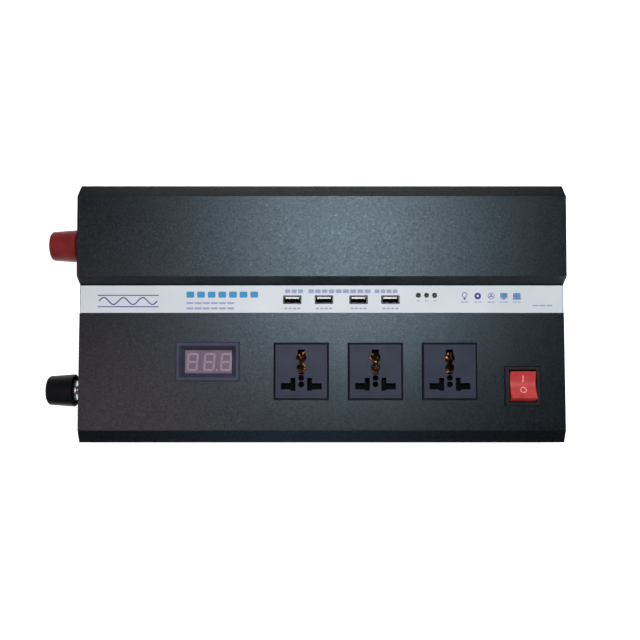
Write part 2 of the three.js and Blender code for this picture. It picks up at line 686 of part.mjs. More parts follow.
function makeImpeller(y) {
  const { z } = FAN;
  const start = FAN_BACK + 4;
  const end = FAN_FRONT - 2.5;
  const blades = { count: 7, tip: FAN.bore - 1.2, root: 1.5, thickness: 1.6, chord: 10, pitch: 0.7 };
  const hub = rodX(FAN.hub, start, end, y, z, 20);
  const wheel = Array.from({ length: blades.count }, (_, i) => {
    const reach = blades.tip - FAN.hub + blades.root;
    const blade = new THREE.BoxGeometry(blades.chord, reach, blades.thickness);
    blade.rotateY(blades.pitch).translate((start + end) / 2, blades.tip - reach / 2, 0);
    return blade.rotateX((i * 2 * Math.PI) / blades.count).translate(0, y, z);
  });
  const socket = rodX(SPINDLE.radius + SPINDLE.clearance, start - 1, start + SPINDLE.socket, y, z, 16);
  return cut(join(hub, ...wheel), socket);
}

function makeGuard(y) {
  const { z } = FAN;
  const rings = GUARD.rings.map((radius) => new THREE.TorusGeometry(radius, GUARD.wire, 5, 20)
    .rotateY(Math.PI / 2).translate(RIGHT + GUARD.ringOffset, y, z));
  const reach = FAN.boltOffset * Math.SQRT2;
  const spokes = [1, 3].map((i) => new THREE.CylinderGeometry(GUARD.spoke, GUARD.spoke, 2 * reach, 8)
    .rotateX(i * Math.PI / 4).translate(RIGHT + GUARD.spokeOffset, y, z));
  return join(...rings, ...spokes);
}

[FAN.y, -FAN.y].forEach((y, i) => {
  piece(`fan_${i + 1}_frame`, 'blackPlastic', makeFanFrame(y));
  piece(`fan_${i + 1}_impeller`, 'blackPlastic', makeImpeller(y));
  piece(`fan_${i + 1}_guard`, 'steel', makeGuard(y));
});

// ---------------------------------------------------------------------------
// Power electronics
// ---------------------------------------------------------------------------

const BOARD_TOP = BOARD.bottom + BOARD.thickness;
piece('main_board', 'board', box(
  [BOARD.left, -BOARD.halfDepth, BOARD.bottom], [BOARD.right, BOARD.halfDepth, BOARD_TOP]));

// Ferrite core around a round winding
const TRANSFORMER = { width: 44, depth: 34, height: 30, limb: 9, windingRadius: 12, xs: [-110, -50], y: -30 };

function makeTransformer(x) {
  const { width, depth, height, limb, windingRadius, y } = TRANSFORMER;
  const window = width - 2 * limb;
  const top = BOARD_TOP + height;
  const frame = cut(
    block(x, y, width, depth, BOARD_TOP, top),
    block(x, y, window, depth + 2, BOARD_TOP + limb, top - limb));
  const reach = window / 2 + 1;
  return join(frame, rodX(windingRadius, x - reach, x + reach, y, (BOARD_TOP + top) / 2, 20));
}

TRANSFORMER.xs.forEach((x, i) => piece(`transformer_${i + 1}`, 'ferrite', makeTransformer(x)));

// Upright spine with level fins on both sides
function makeHeatSink() {
  const sink = { half: 130, y: 62, spine: 4, reach: 11, height: 42 };
  const fin = { count: 5, first: 4, pitch: 9, thickness: 2 };
  const spine = block(0, sink.y, 2 * sink.half, sink.spine, BOARD_TOP, BOARD_TOP + sink.height);
  const fins = Array.from({ length: fin.count }, (_, i) => {
    const bottom = BOARD_TOP + fin.first + i * fin.pitch;
    return block(0, sink.y, 2 * sink.half, 2 * sink.reach, bottom, bottom + fin.thickness);
  });
  return join(spine, ...fins);
}

piece('heat_sink', 'aluminium', makeHeatSink());

export default inverter;
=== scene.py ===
"""Looks for a power inverter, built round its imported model.

Lengths are in metres. Tables of shapes are in millimetres where their numbers aren't multiplied by MM.
Places come from the model's own boxes and joints. What sits on the sloping panel is drawn in the panel's
axes: x along the case, y up the slope, z square out of it.
"""

import json
from math import acos, cos, pi, radians, sin, tan
from types import SimpleNamespace as Sizes

import bmesh
import bpy
from mathutils import Matrix, Vector


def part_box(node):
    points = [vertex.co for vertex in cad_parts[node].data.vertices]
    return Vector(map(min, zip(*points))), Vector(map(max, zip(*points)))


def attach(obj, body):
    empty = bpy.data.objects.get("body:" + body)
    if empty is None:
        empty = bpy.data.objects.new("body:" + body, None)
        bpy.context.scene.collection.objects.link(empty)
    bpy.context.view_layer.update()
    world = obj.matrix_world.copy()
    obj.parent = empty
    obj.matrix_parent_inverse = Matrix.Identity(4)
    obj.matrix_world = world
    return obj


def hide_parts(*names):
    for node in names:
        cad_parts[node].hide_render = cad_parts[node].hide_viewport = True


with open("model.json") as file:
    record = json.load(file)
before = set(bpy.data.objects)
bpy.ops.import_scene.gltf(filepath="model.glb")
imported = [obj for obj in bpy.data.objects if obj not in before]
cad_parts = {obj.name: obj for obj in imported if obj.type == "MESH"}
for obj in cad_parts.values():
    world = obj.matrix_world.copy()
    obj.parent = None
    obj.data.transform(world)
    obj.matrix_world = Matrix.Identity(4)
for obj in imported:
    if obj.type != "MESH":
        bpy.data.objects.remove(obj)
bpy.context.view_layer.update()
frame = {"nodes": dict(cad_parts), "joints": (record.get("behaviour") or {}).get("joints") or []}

# --- Driving values ---

MM = 0.001
move = Matrix.Translation
LIFT = 0.00004  # printed marks stand this far off the surface they are on

CAMERA_HEIGHT = 0.7
CAMERA_OFFSET = (-0.00125, -0.00485)  # from the middle of the case
CAMERA_LENS = 46.8

PIVOT_DEPTH = 1 * MM  # the rocker's pivot lies this far under the panel

JOINTS = {joint["name"]: joint for joint in frame["joints"]}
ALONG = Vector((1, 0, 0))
SLOPE = Vector(JOINTS["outlet_1_shutter_slide"]["axis"]).normalized()
OUTWARD = ALONG.cross(SLOPE)
PIVOT = Vector(JOINTS["rocker_tilt"]["pos_m"])
PANEL_AXES = Matrix((ALONG, SLOPE, OUTWARD)).transposed().to_4x4()
PANEL = move(PIVOT + OUTWARD * PIVOT_DEPTH) @ PANEL_AXES

TO_LEFT = Matrix.Rotation(radians(-90), 4, "Y")  # turns a part's z axis to -X
TO_RIGHT = Matrix.Rotation(radians(90), 4, "Y")  # turns a part's z axis to +X


def middle(node):
    low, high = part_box(node)
    return (low + high) / 2


def on_panel(node):
    """A panel node's middle, in the panel's axes."""
    return PANEL.inverted() @ middle(node)


def panel_place(x, y, z=0.0):
    return PANEL @ move((x, y, z))


def over(node):
    """Place on the panel's surface over a node's middle."""
    centre = on_panel(node)
    return panel_place(centre.x, centre.y)


def add_object(name, data):
    made = bpy.data.objects.new(name, data)
    bpy.context.scene.collection.objects.link(made)
    return made


# --- Mesh building ---


def angles(steps, start=0.0):
    """Even steps round one full turn."""
    return [start + 2 * pi * i / steps for i in range(steps)]


def polar(radius, angle, z=0.0):
    return Vector((radius * cos(angle), radius * sin(angle), z))


def circle(radius, z, steps, start=0.0):
    """Ring of points at one height; a ring of no radius is a single point."""
    if radius < 1e-7:
        return [Vector((0, 0, z))]
    return [polar(radius, a, z) for a in angles(steps, start)]


def in_metres(pairs):
    """Pairs that are given in millimetres."""
    return [(a * MM, b * MM) for a, b in pairs]


def disc(radius, bottom, top):
    """Profile of a solid disc."""
    return [(0, bottom), (radius, bottom), (radius, top), (0, top)]


def rectangle(half_width, half_height):
    """Corners in x and y, anticlockwise."""
    return [Vector((sx * half_width, sy * half_height, 0)) for sx, sy in ((-1, -1), (1, -1), (1, 1), (-1, 1))]


def rounded_rectangle(width, height, radius, steps=5):
    """Outline in x and y, anticlockwise."""
    points = []
    for corner, (sx, sy) in enumerate(((1, 1), (-1, 1), (-1, -1), (1, -1))):
        centre = Vector((sx * (width / 2 - radius), sy * (height / 2 - radius), 0))
        for i in range(steps + 1):
            angle = (corner + i / steps) * pi / 2
            points.append(centre + polar(radius, angle))
    return points


def framed(steps, radius=0.4):
    """Rings of rounded rectangles from ((width, height), level) steps, all in millimetres."""
    rings = []
    for (width, height), level in steps:
        outline = rounded_rectangle(width * MM, height * MM, radius * MM, 4)
        rings.append([point + Vector((0, 0, level * MM)) for point in outline])
    return rings


class Solid:
    """A mesh under construction, made of lofted rings."""

    def __init__(self):
        self.mesh = bmesh.new()

    def _skin(self, low, high):
        count = max(len(low), len(high))
        for i in range(count):
            following = (i + 1) % count
            corners = [low[i % len(low)], low[following % len(low)],
                       high[following % len(high)], high[i % len(high)]]
            unique = list(dict.fromkeys(corners))
            if len(unique) > 2:
                self.mesh.faces.new(unique)

    def loft(self, rings, at=Matrix(), closed=False):
        """Joins rings in order. The ends are capped unless the last ring meets the first."""
        made = [[self.mesh.verts.new(at @ Vector(point)) for point in ring] for ring in rings]
        for low, high in zip(made, made[1:]):
            self._skin(low, high)
        if closed:
            self._skin(made[-1], made[0])
            return self
        for ring in (made[0], made[-1]):
            if len(ring) > 2:
                self.mesh.faces.new(ring)
        return self

    def turn(self, profile, at=Matrix(), steps=48, closed=False):
        """Turns a (radius, height) profile about z."""
        return self.loft([circle(radius, z, steps) for radius, z in profile], at, closed)

    def prism(self, outline, bottom, top, at=Matrix(), bevel=0.0):
        """Upright prism over an outline, its upper edge drawn in by the bevel."""
        centre = sum((Vector(p) for p in outline), Vector()) / len(outline)
        reach = max((Vector(p) - centre).length for p in outline)
        shrink = 1 - bevel / reach
        levels = [(1, bottom), (1, top - bevel), (shrink, top)] if bevel else [(1, bottom), (1, top)]
        rings = []
        for scale, z in levels:
            rings.append([centre + (Vector(p) - centre) * scale + Vector((0, 0, z)) for p in outline])
        return self.loft(rings, at)

    def block(self, size, at=Matrix(), radius=0.0002):
        """Box with rounded upright edges, standing on z = 0."""
        return self.prism(rounded_rectangle(size[0], size[1], radius, 3), 0, size[2], at, radius * 0.7)

    def plate(self, outline, holes, bottom, top, bevel):
        """Flat plate with holes, rounded along every upper and lower edge."""
        curve = bpy.data.curves.new("outline", "CURVE")
        curve.dimensions = "2D"
        curve.fill_mode = "BOTH"
        curve.extrude = (top - bottom) / 2 - bevel
        curve.bevel_depth = bevel
        curve.bevel_resolution = 1
        curve.offset = -bevel
        for points in (outline, *holes):
            spline = curve.splines.new("POLY")
            spline.points.add(len(points) - 1)
            for place, point in zip(spline.points, points):
                place.co = (point[0], point[1], 0, 1)
            spline.use_cyclic_u = True
        holder = bpy.data.objects.new("outline", curve)
        filled = holder.to_mesh()
        filled.transform(move((0, 0, (top + bottom) / 2)))
        self.mesh.from_mesh(filled)
        holder.to_mesh_clear()
        bpy.data.objects.remove(holder)
        bpy.data.curves.remove(curve)
        bmesh.ops.remove_doubles(self.mesh, verts=self.mesh.verts, dist=1e-6)
        return self

    def wire(self, points, radius, steps=10, closed=False):
        """Round wire along a path."""
        count = len(points)
        rings = []
        for i, point in enumerate(points):
            before = points[i - 1] if (i or closed) else point
            after = points[(i + 1) % count] if (i + 1 < count or closed) else point
            tangent = (Vector(after) - Vector(before)).normalized()
            side = tangent.orthogonal() if i == 0 else (side - tangent * side.dot(tangent))
            side.normalize()
            across = tangent.cross(side)
            rings.append([
                Vector(point) + radius * (cos(a) * side + sin(a) * across)
                for a in angles(steps)])
        return self.loft(rings, closed=closed)

    def ring(self, ring_radius, radius, at, steps=64, section_steps=10):
        """Torus about z."""
        sections = []
        for turn in angles(steps):
            spin = Matrix.Rotation(turn, 4, "Z")
            sections.append([
                spin @ Vector((ring_radius + radius * cos(a), 0, radius * sin(a)))
                for a in angles(section_steps)])
        return self.loft(sections, at, closed=True)

    def make(self, name, material, body, at=Matrix(), slot=None, replaces=(), bevel=0.0, sharp=32):
        """Turns the mesh into a named piece that rides on a body."""
        bmesh.ops.recalc_face_normals(self.mesh, faces=self.mesh.faces)
        data = bpy.data.meshes.new(name)
        self.mesh.to_mesh(data)
        self.mesh.free()
        data.polygons.foreach_set("use_smooth", [True] * len(data.polygons))
        data.set_sharp_from_angle(angle=radians(sharp))
        data.materials.append(material)
        piece = add_object(name, data)
        piece.matrix_world = at
        if bevel:
            round_edges(piece, bevel)
        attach(piece, body)
        if replaces:
            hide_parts(*replaces)
        return piece


def round_edges(piece, width, segments=2, sharpest=28):
    """Rounds every edge that turns by more than this many degrees."""
    bevel = piece.modifiers.new("edges", "BEVEL")
    bevel.width = width
    bevel.segments = segments
    bevel.limit_method = "ANGLE"
    bevel.angle_limit = radians(sharpest)
    bevel.harden_normals = True


def keep(node, material, edge=0.0, segments=2):
    """Shows a CAD node with a material, and softens its edges while its flat faces stay flat."""
    piece = frame["nodes"][node]
    piece.data.materials.clear()
    piece.data.materials.append(material)
    if edge:
        piece.data.attributes.remove(piece.data.attributes["custom_normal"])
        piece.data.polygons.foreach_set("use_smooth", [True] * len(piece.data.polygons))
        weld = piece.modifiers.new("weld", "WELD")
        weld.merge_threshold = 1e-5
        merge = piece.modifiers.new("merge", "DECIMATE")
        merge.decimate_type = "DISSOLVE"
        merge.angle_limit = radians(1)
        round_edges(piece, edge, segments)
        flatten = piece.modifiers.new("flatten", "WEIGHTED_NORMAL")
        flatten.weight = 100
    return piece


# --- Materials ---


def fill_ramp(ramp, stops):
    """Sets a colour ramp's (position, colour) stops."""
    elements = ramp.color_ramp.elements
    for element, (position, color) in zip(elements, (stops[0], stops[-1])):
        element.position = position
        element.color = (*color, 1)
    for position, color in stops[1:-1]:
        elements.new(position).color = (*color, 1)


class Shader:
    """Principled material with small helpers for the nodes that feed it."""

    def __init__(self, name, **values):
        self.material = bpy.data.materials.new(name)
        self.material.use_nodes = True
        self.tree = self.material.node_tree
        self.surface = self.tree.nodes["Principled BSDF"]
        for socket, value in values.items():
            self.surface.inputs[socket.replace("_", " ")].default_value = value
        self.place = self.tree.nodes.new("ShaderNodeTexCoord").outputs["Object"]

    def add(self, kind, **sockets):
        node = self.tree.nodes.new(kind)
        for socket, value in sockets.items():
            self.feed(node.inputs[socket.replace("_", " ")], value)
        return node

    def feed(self, socket, value):
        if isinstance(value, bpy.types.NodeSocket):
            self.tree.links.new(value, socket)
        else:
            socket.default_value = value

    def noise(self, size, detail=2.0, roughness=0.5):
        """Noise whose features are about this size in metres."""
        node = self.add("ShaderNodeTexNoise", Vector=self.place, Scale=1 / size, Detail=detail,
                        Roughness=roughness)
        return node.outputs["Fac"]

    def stretched(self, scale, **sockets):
        """Noise drawn out along the axes with a small scale."""
        mapping = self.add("ShaderNodeMapping", Vector=self.place, Scale=scale)
        return self.add("ShaderNodeTexNoise", Vector=mapping.outputs["Vector"], **sockets).outputs["Fac"]

    def tones(self, factor, *stops):
        """Colour ramp of (position, colour) stops."""
        ramp = self.add("ShaderNodeValToRGB", Fac=factor)
        fill_ramp(ramp, stops)
        self.feed(self.surface.inputs["Base Color"], ramp.outputs["Color"])
        return self

    def roughness(self, factor, low, high):
        spread = self.add("ShaderNodeMapRange", Value=factor, To_Min=low, To_Max=high)
        self.feed(self.surface.inputs["Roughness"], spread.outputs["Result"])
        return self

    def bump(self, height, distance, strength=1.0):
        bump = self.add("ShaderNodeBump", Height=height, Distance=distance, Strength=strength)
        self.feed(self.surface.inputs["Normal"], bump.outputs["Normal"])
        return self


def powder_coat():
    """Black sand-grain powder coat: fine hard grains, a few paler glints and a mottled sheen."""
    shader = Shader("powder_coat", Specular_Tint=(0.66, 0.86, 1.0, 1))
    grain = shader.noise(0.9 * MM, 3, 0.65)
    ground, middling, glint = (0.0006, 0.0006, 0.0008), (0.0016, 0.0017, 0.002), (0.011, 0.012, 0.0135)
    shader.tones(grain, (0.34, ground), (0.56, middling), (0.72, glint))
    shader.roughness(shader.noise(2.2 * MM, 4, 0.7), 0.2, 0.42)
    sheen = shader.add("ShaderNodeMapRange", Value=shader.noise(1.7 * MM, 4, 0.8), From_Min=0.3,
                       From_Max=0.7, To_Min=0.16, To_Max=0.4)
    shader.feed(shader.surface.inputs["Specular IOR Level"], sheen.outputs["Result"])
    return shader.bump(grain, 0.16 * MM, 0.6).material


def grained(name, dark, light, tone, stops, worn, rough, grain, relief, **values):
    """Two tones, a roughness that varies and a fine grain, each led by its own noise."""
    shader = Shader(name, **values)
    shader.tones(shader.noise(*tone), (stops[0], dark), (stops[1], light))
    shader.roughness(shader.noise(*worn), *rough)
    return shader.bump(shader.noise(*grain), *relief).material


def moulded(name, dark, light, rough=(0.42, 0.54), shine=0.14):
    """Moulded plastic: an even colour with slow variation and a fine spark-eroded grain."""
    return grained(name, dark, light, (12 * MM, 3), (0.35, 0.65), (6 * MM,), rough, (0.5 * MM, 2),
                   (0.03 * MM, 0.6), Specular_IOR_Level=shine)


def polished_plastic(name, dark, light):
    """Glossy moulded plastic with faint flow marks."""
    return grained(name, dark, light, (9 * MM, 2), (0.3, 0.7), (4 * MM, 3), (0.24, 0.36), (1.5 * MM, 2),
                   (0.02 * MM, 0.5), Coat_Weight=0.35, Coat_Roughness=0.12)


def plated(name, dark, light, rough=(0.2, 0.36)):
    """Plated or drawn metal with fine draw lines along x."""
    shader = Shader(name, Metallic=1.0)
    lines = shader.stretched((60, 900, 900), Scale=1.6, Detail=3.0)
    shader.tones(lines, (0.3, dark), (0.7, light))
    shader.roughness(lines, *rough)
    return shader.bump(lines, 0.02 * MM, 0.5).material


def shaded_brass():
    """Brass darkened nearly to black as painted shade for contacts deep in the pin wells, with small random
    spots of bright brass.
    """
    shader = Shader("shaded_brass", Metallic=1.0)
    patches = shader.noise(2.2 * MM, 2)
    # Painted shade: the darkest tone is brass darkened nearly to black for the shade in the wells; the
    # brightest is bare brass.
    painted_shade, edge, bright_brass = (0.003, 0.002, 0.0015), (0.045, 0.017, 0.004), (0.5, 0.24, 0.08)
    shader.tones(patches, (0.5, painted_shade), (0.62, edge), (0.74, bright_brass))
    shader.roughness(patches, 0.5, 0.25)
    return shader.bump(patches, 0.05 * MM, 0.4).material


def label_film():
    """White printed film with a soft satin sheen."""
    return grained("label_film", (0.535, 0.6, 0.625), (0.59, 0.655, 0.68), (40 * MM, 3), (0.3, 0.7),
                   (5 * MM,), (0.36, 0.46), (0.8 * MM, 2), (0.01 * MM, 0.4), Specular_IOR_Level=0.2)


def circuit_board():
    """Green solder mask with faint traces under it."""
    shader = Shader("circuit_board", Coat_Weight=0.3, Coat_Roughness=0.2)
    traces = shader.add("ShaderNodeTexVoronoi", Vector=shader.place, Scale=1 / (6 * MM))
    traces.distance = "MANHATTAN"
    traces.feature = "F1"
    shader.tones(traces.outputs["Distance"], (0.1, (0.01, 0.075, 0.028)), (0.45, (0.016, 0.11, 0.045)))
    return shader.roughness(shader.noise(3 * MM), 0.3, 0.45).material


def rubber():
    return grained("rubber", (0.01, 0.01, 0.011), (0.022, 0.022, 0.023), (5 * MM, 3), (0.3, 0.7),
                   (2 * MM,), (0.75, 0.9), (0.5 * MM, 3), (0.06 * MM, 0.7), Specular_IOR_Level=0.25)


def ink(name, color):
    """Screen-printed ink with slightly uneven cover."""
    shader = Shader(name, Specular_IOR_Level=0.1)
    pale = tuple(0.9 * channel + 0.1 for channel in color)
    shader.tones(shader.noise(0.7 * MM, 2), (0.35, color), (0.95, pale))
    return shader.roughness(shader.noise(2 * MM), 0.4, 0.55).material


def ferrite():
    return grained("ferrite", (0.018, 0.018, 0.02), (0.045, 0.044, 0.046), (4 * MM, 4), (0.3, 0.7),
                   (2 * MM,), (0.6, 0.8), (0.8 * MM, 3), (0.08 * MM, 0.6))


POWDER = powder_coat()
LABEL = label_film()
SLATE = moulded("slate_plastic", (0.015, 0.021, 0.038), (0.02, 0.028, 0.048))
METER_SLATE = moulded("meter_plastic", (0.03, 0.034, 0.058), (0.038, 0.043, 0.07))
# Painted shade: a darker copy of the slate plastic for the ring round each outlet face, where its shadow
# falls.
SHADED_SLATE = moulded("shaded_slate_plastic", (0.006, 0.0065, 0.0105), (0.0085, 0.0092, 0.0145), shine=0.08)
BLACK = moulded("black_plastic", (0.005, 0.005, 0.006), (0.01, 0.01, 0.012))
# Painted shade: plastic darkened nearly to black for parts deep in the outlet wells and USB ports, which lie
# in shade.
WELL_SHADE = moulded("well_shade_plastic", (0.0015, 0.0016, 0.002), (0.003, 0.0032, 0.0038), shine=0.01)
WHITE = moulded("white_plastic", (0.66, 0.66, 0.65), (0.78, 0.78, 0.77), (0.3, 0.4))
RED_ROCKER = polished_plastic("red_rocker", (0.44, 0.036, 0.038), (0.54, 0.05, 0.05))
ROCKER_MARK = moulded("rocker_mark", (0.72, 0.28, 0.31), (0.84, 0.4, 0.43))
RED_KNOB = moulded("red_plastic", (0.135, 0.0125, 0.0125), (0.18, 0.018, 0.018), shine=0.12)
BLACK_KNOB = moulded("black_knob", (0.003, 0.003, 0.0035), (0.006, 0.006, 0.007), shine=0.07)
WINDOW = moulded("meter_window", (0.112, 0.08, 0.118), (0.15, 0.108, 0.156), (0.3, 0.4))
SEGMENT = moulded("meter_segment", (0.235, 0.185, 0.25), (0.27, 0.215, 0.29), (0.3, 0.4))
LED_LENS = polished_plastic("led_lens", (0.006, 0.04, 0.02), (0.012, 0.07, 0.034))
STEEL = plated("plated_steel", (0.48, 0.49, 0.5), (0.7, 0.71, 0.72))
# Painted shade: plated steel darkened nearly to black for the USB shells, whose insides lie in shade.
SHADED_USB_STEEL = plated("usb_steel_painted_shade", (0.03, 0.031, 0.033), (0.075, 0.078, 0.082), (0.32, 0.45))
DARK_STEEL = plated("black_steel", (0.02, 0.02, 0.023), (0.05, 0.05, 0.055), (0.3, 0.45))
SHADED_BRASS = shaded_brass()
ALUMINIUM = plated("bare_aluminium", (0.52, 0.53, 0.55), (0.66, 0.67, 0.69), (0.3, 0.5))
COPPER = plated("copper_wire", (0.4, 0.13, 0.05), (0.58, 0.22, 0.09), (0.25, 0.4))
BOARD = circuit_board()
RUBBER = rubber()
FERRITE = ferrite()
VIOLET_INK = ink("violet_ink", (0.03, 0.022, 0.24))
BLUE_INK = ink("blue_ink", (0.022, 0.24, 0.46))
PALE_INK = ink("pale_ink", (0.27, 0.32, 0.49))

# --- Case ---

LEFT_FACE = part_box("left_end_plate")[0].x
RIGHT_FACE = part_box("right_end_plate")[1].x
END_FACES = {"left": (LEFT_FACE, TO_LEFT), "right": (RIGHT_FACE, TO_RIGHT)}

# Radius and height of a screw's head, length of its shank and of the cross in its head, in millimetres
PLATE_SCREW = Sizes(head=3.4, height=2.2, shank=10, cross=3.6)
GUARD_SCREW = Sizes(head=2.9, height=1.9, shank=1, cross=3.0)
SHANK, FLAT = 0.44, 0.42  # radius of the shank and of the head's flat, as shares of the head's radius
RIM = 0.35  # height of the head's upright rim, as a share of the head's height
CROSS_BAR = 0.26  # breadth of each bar of the cross, as a share of its length

# A foot's profile outwards from the well of its screw: share of its radius, and millimetres from the ground
FOOT = ((0.38, 1.2), (0.38, 0.3), (0.46, 0), (0.8, 0), (0.87, 0.5))
FOOT_SHOULDER = 0.5 * MM
FOOT_SCREW = Sizes(radius=0.36, bottom=0.9 * MM, top=1.2 * MM)


def case():
    keep("top_housing", POWDER, 0.7 * MM, 3)
    keep("bottom_cover", POWDER, 0.3 * MM)
    keep("left_end_plate", POWDER, 0.4 * MM)
    keep("right_end_plate", POWDER, 0.4 * MM)
    keep("label_strip", LABEL, 0.12 * MM)


def pan_screw(name, cross_shade_name, at, size, **about):
    """Domed head on z = 0 with a shank below it, and a dark flat cross on the head, painted shade in place of
    a cross recess.
    """
    head, height, shank = size.head * MM, size.height * MM, size.shank * MM
    rim = [(0, -shank), (SHANK * head, -shank), (SHANK * head, 0), (head, 0), (head, RIM * height)]
    dome = [(head * cos(a), height * (RIM + (1 - RIM) * sin(a)))
            for a in (radians(18 * i) for i in range(1, 4))]
    screw = Solid().turn([*rim, *dome, (FLAT * head, height)], at, 40)
    screw.make(name, DARK_STEEL, "case", **about)
    # Painted shade: a thin dark cross laid on the head stands in for the shade of a cross recess.
    cross_shade = Solid()
    length = size.cross * MM
    for turn in (0, 90):
        bar = Matrix.Rotation(radians(turn), 4, "Z") @ move((0, 0, height))
        cross_shade.prism(rounded_rectangle(length, CROSS_BAR * length, 0.1 * length), 0, 0.03 * MM, at @ bar)
    cross_shade.make(cross_shade_name, RUBBER, "case")


def end_screws():
    for end, (face, turn) in END_FACES.items():
        for i in range(1, 5):
            node = f"{end}_screw_{i}"
            centre = middle(node)
            at = move((face, centre.y, centre.z)) @ turn
            pan_screw(f"{end}_pan_screw_{i}", f"{end}_screw_recess_{i}", at, PLATE_SCREW,
                      slot="black_steel", replaces=[node])


def feet():
    """Rubber feet that taper to the ground, each with a screw in a well."""
    for i in range(1, 5):
        node = f"foot_{i}"
        low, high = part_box(node)
        centre = (low + high) / 2
        reach = (high.x - low.x) / 2
        top = high.z
        at = move((centre.x, centre.y, 0))
        profile = [(share * reach, z * MM) for share, z in FOOT]
        profile += [(reach, top - FOOT_SHOULDER), (reach, top), (0, top), (0, FOOT_SCREW.top)]
        Solid().turn(profile, at, 56).make(f"rubber_{node}", RUBBER, "case", slot="rubber", replaces=[node])
        screw = disc(FOOT_SCREW.radius * reach, FOOT_SCREW.bottom, FOOT_SCREW.top)
        Solid().turn(screw, at).make(f"{node}_screw", DARK_STEEL, "case")


case()
end_screws()
feet()

# --- Printed marks on the strip: plain shapes only ---

STRIP = on_panel("label_strip")
CASE_X = middle("top_housing").x
INK = 0.02 * MM  # half the thickness of a printed mark

# The rest is in millimetres: x from the middle of the case, y from the middle of the strip.
WAVE = Sizes(start=-168.0, end=-124.0, y=-1.4, reach=2.6, half_width=0.45, cycles=3, steps=72)
RULES = Sizes(y=(2.9, -5.7), overhang=2, height=0.7)
LAMP_X, DRUM_X, FAN_X, SCREEN_X, LAPTOP_X = PICTOGRAM_X = (107.9, 117.8, 127.9, 137.5, 147.3)
ROUND_Y = 2.4  # middle of the drum and the fan
SCREEN = Sizes(y=2.6, edges=(0.9, 4.3), side=2.4, line=0.5, base=0.1)
# Rows of bars: first x, last x, y, height, number of bars
TITLE_ROW = (-102, -48, 3.4, 4.6, 7)
TEXT_ROWS = (
    (-102, -66, -3.0, 1.5, 6), (-102, -66, -7.0, 1.5, 6), (-27.6, -14, 6.0, 2.9, 3), (-10, 9.5, 6.0, 2.9, 4),
    (10.5, 37, 6.0, 2.9, 5), (40, 57.3, 6.0, 2.9, 4),
)
CORNER_ROW = (159, 174, -4.8, 1.0, 3)
# Captions, each under its own port, lamp or pictogram
PORT_CAPTION = Sizes(reach=6, row=(-7.0, 1.3, 4))
LAMP_CAPTION = (-1.2, 2.6, 0.7)
PICTOGRAM_CAPTION = Sizes(reach=2.8, row=(-2.2, 0.8, 2, 0.5))


def strip_mark(solid, name, material):
    solid.make(name, material, "case", panel_place(CASE_X - PIVOT.x, STRIP.y, LIFT))


def dash(solid, x, y, width, height):
    """Rounded bar."""
    radius = 0.2 * min(width, height) * MM
    at = move((x * MM, y * MM, 0))
    solid.prism(rounded_rectangle(width * MM, height * MM, radius, 4), -INK, INK, at)


def dash_row(solid, x0, x1, y, height, count, gap=0.9):
    """Even bars from x0 to x1."""
    width = (x1 - x0 - gap * (count - 1)) / count
    for i in range(count):
        dash(solid, x0 + width / 2 + i * (width + gap), y, width, height)


def flat_ring(solid, x, y, outer, inner):
    at = move((x * MM, y * MM, 0))
    outer, inner = outer * MM, inner * MM
    solid.turn([(outer, -INK), (outer, INK), (inner, INK), (inner, -INK)], at, 36, closed=True)


def wave_mark():
    """A sine wave between two rules, for the inverter's output."""
    solid = Solid()
    start, length = WAVE.start, WAVE.end - WAVE.start
    edges = []
    for i in range(WAVE.steps + 1):
        swing = sin(WAVE.cycles * 2 * pi * i / WAVE.steps)
        edges.append(Vector((start + length * i / WAVE.steps, WAVE.y + WAVE.reach * swing, 0)))
    for a, b in zip(edges, edges[1:]):
        direction = (b - a).normalized()
        side = Vector((-direction.y, direction.x, 0)) * WAVE.half_width
        solid.prism([corner * MM for corner in (a - side, b - side, b + side, a + side)], -INK, INK)
    for y in RULES.y:
        dash(solid, start + length / 2, y, length + RULES.overhang, RULES.height)
    strip_mark(solid, "print_wave", VIOLET_INK)


def pictograms():
    """Lamp, drum, fan, screen and laptop."""
    dark = Solid()
    flat_ring(dark, LAMP_X, 3.2, 2.1, 1.6)
    dash(dark, LAMP_X, 0.3, 1.8, 1.2)
    flat_ring(dark, DRUM_X, ROUND_Y, 2.5, 0.9)
    flat_ring(dark, FAN_X, ROUND_Y, 2.5, 2.1)
    flat_ring(dark, FAN_X, ROUND_Y, 0.6, 0.1)
    for i in range(3):
        angle = radians(90 + 120 * i)
        dash(dark, FAN_X + 1.2 * cos(angle), ROUND_Y + 1.2 * sin(angle), 0.9, 0.9)
    for x in (SCREEN_X, LAPTOP_X):
        for y in SCREEN.edges:
            dash(dark, x, y, 5, SCREEN.line)
        for side in (-SCREEN.side, SCREEN.side):
            dash(dark, x + side, SCREEN.y, SCREEN.line, 3.6)
    dash(dark, LAPTOP_X, SCREEN.base, 6.4, 0.6)
    dash(dark, SCREEN_X, SCREEN.base, 1.8, 0.6)
    strip_mark(dark, "print_pictograms", VIOLET_INK)
    colour = Solid()
    for x in (SCREEN_X, LAPTOP_X):
        dash(colour, x, SCREEN.y, 4, 2.6)
    strip_mark(colour, "print_screens", BLUE_INK)


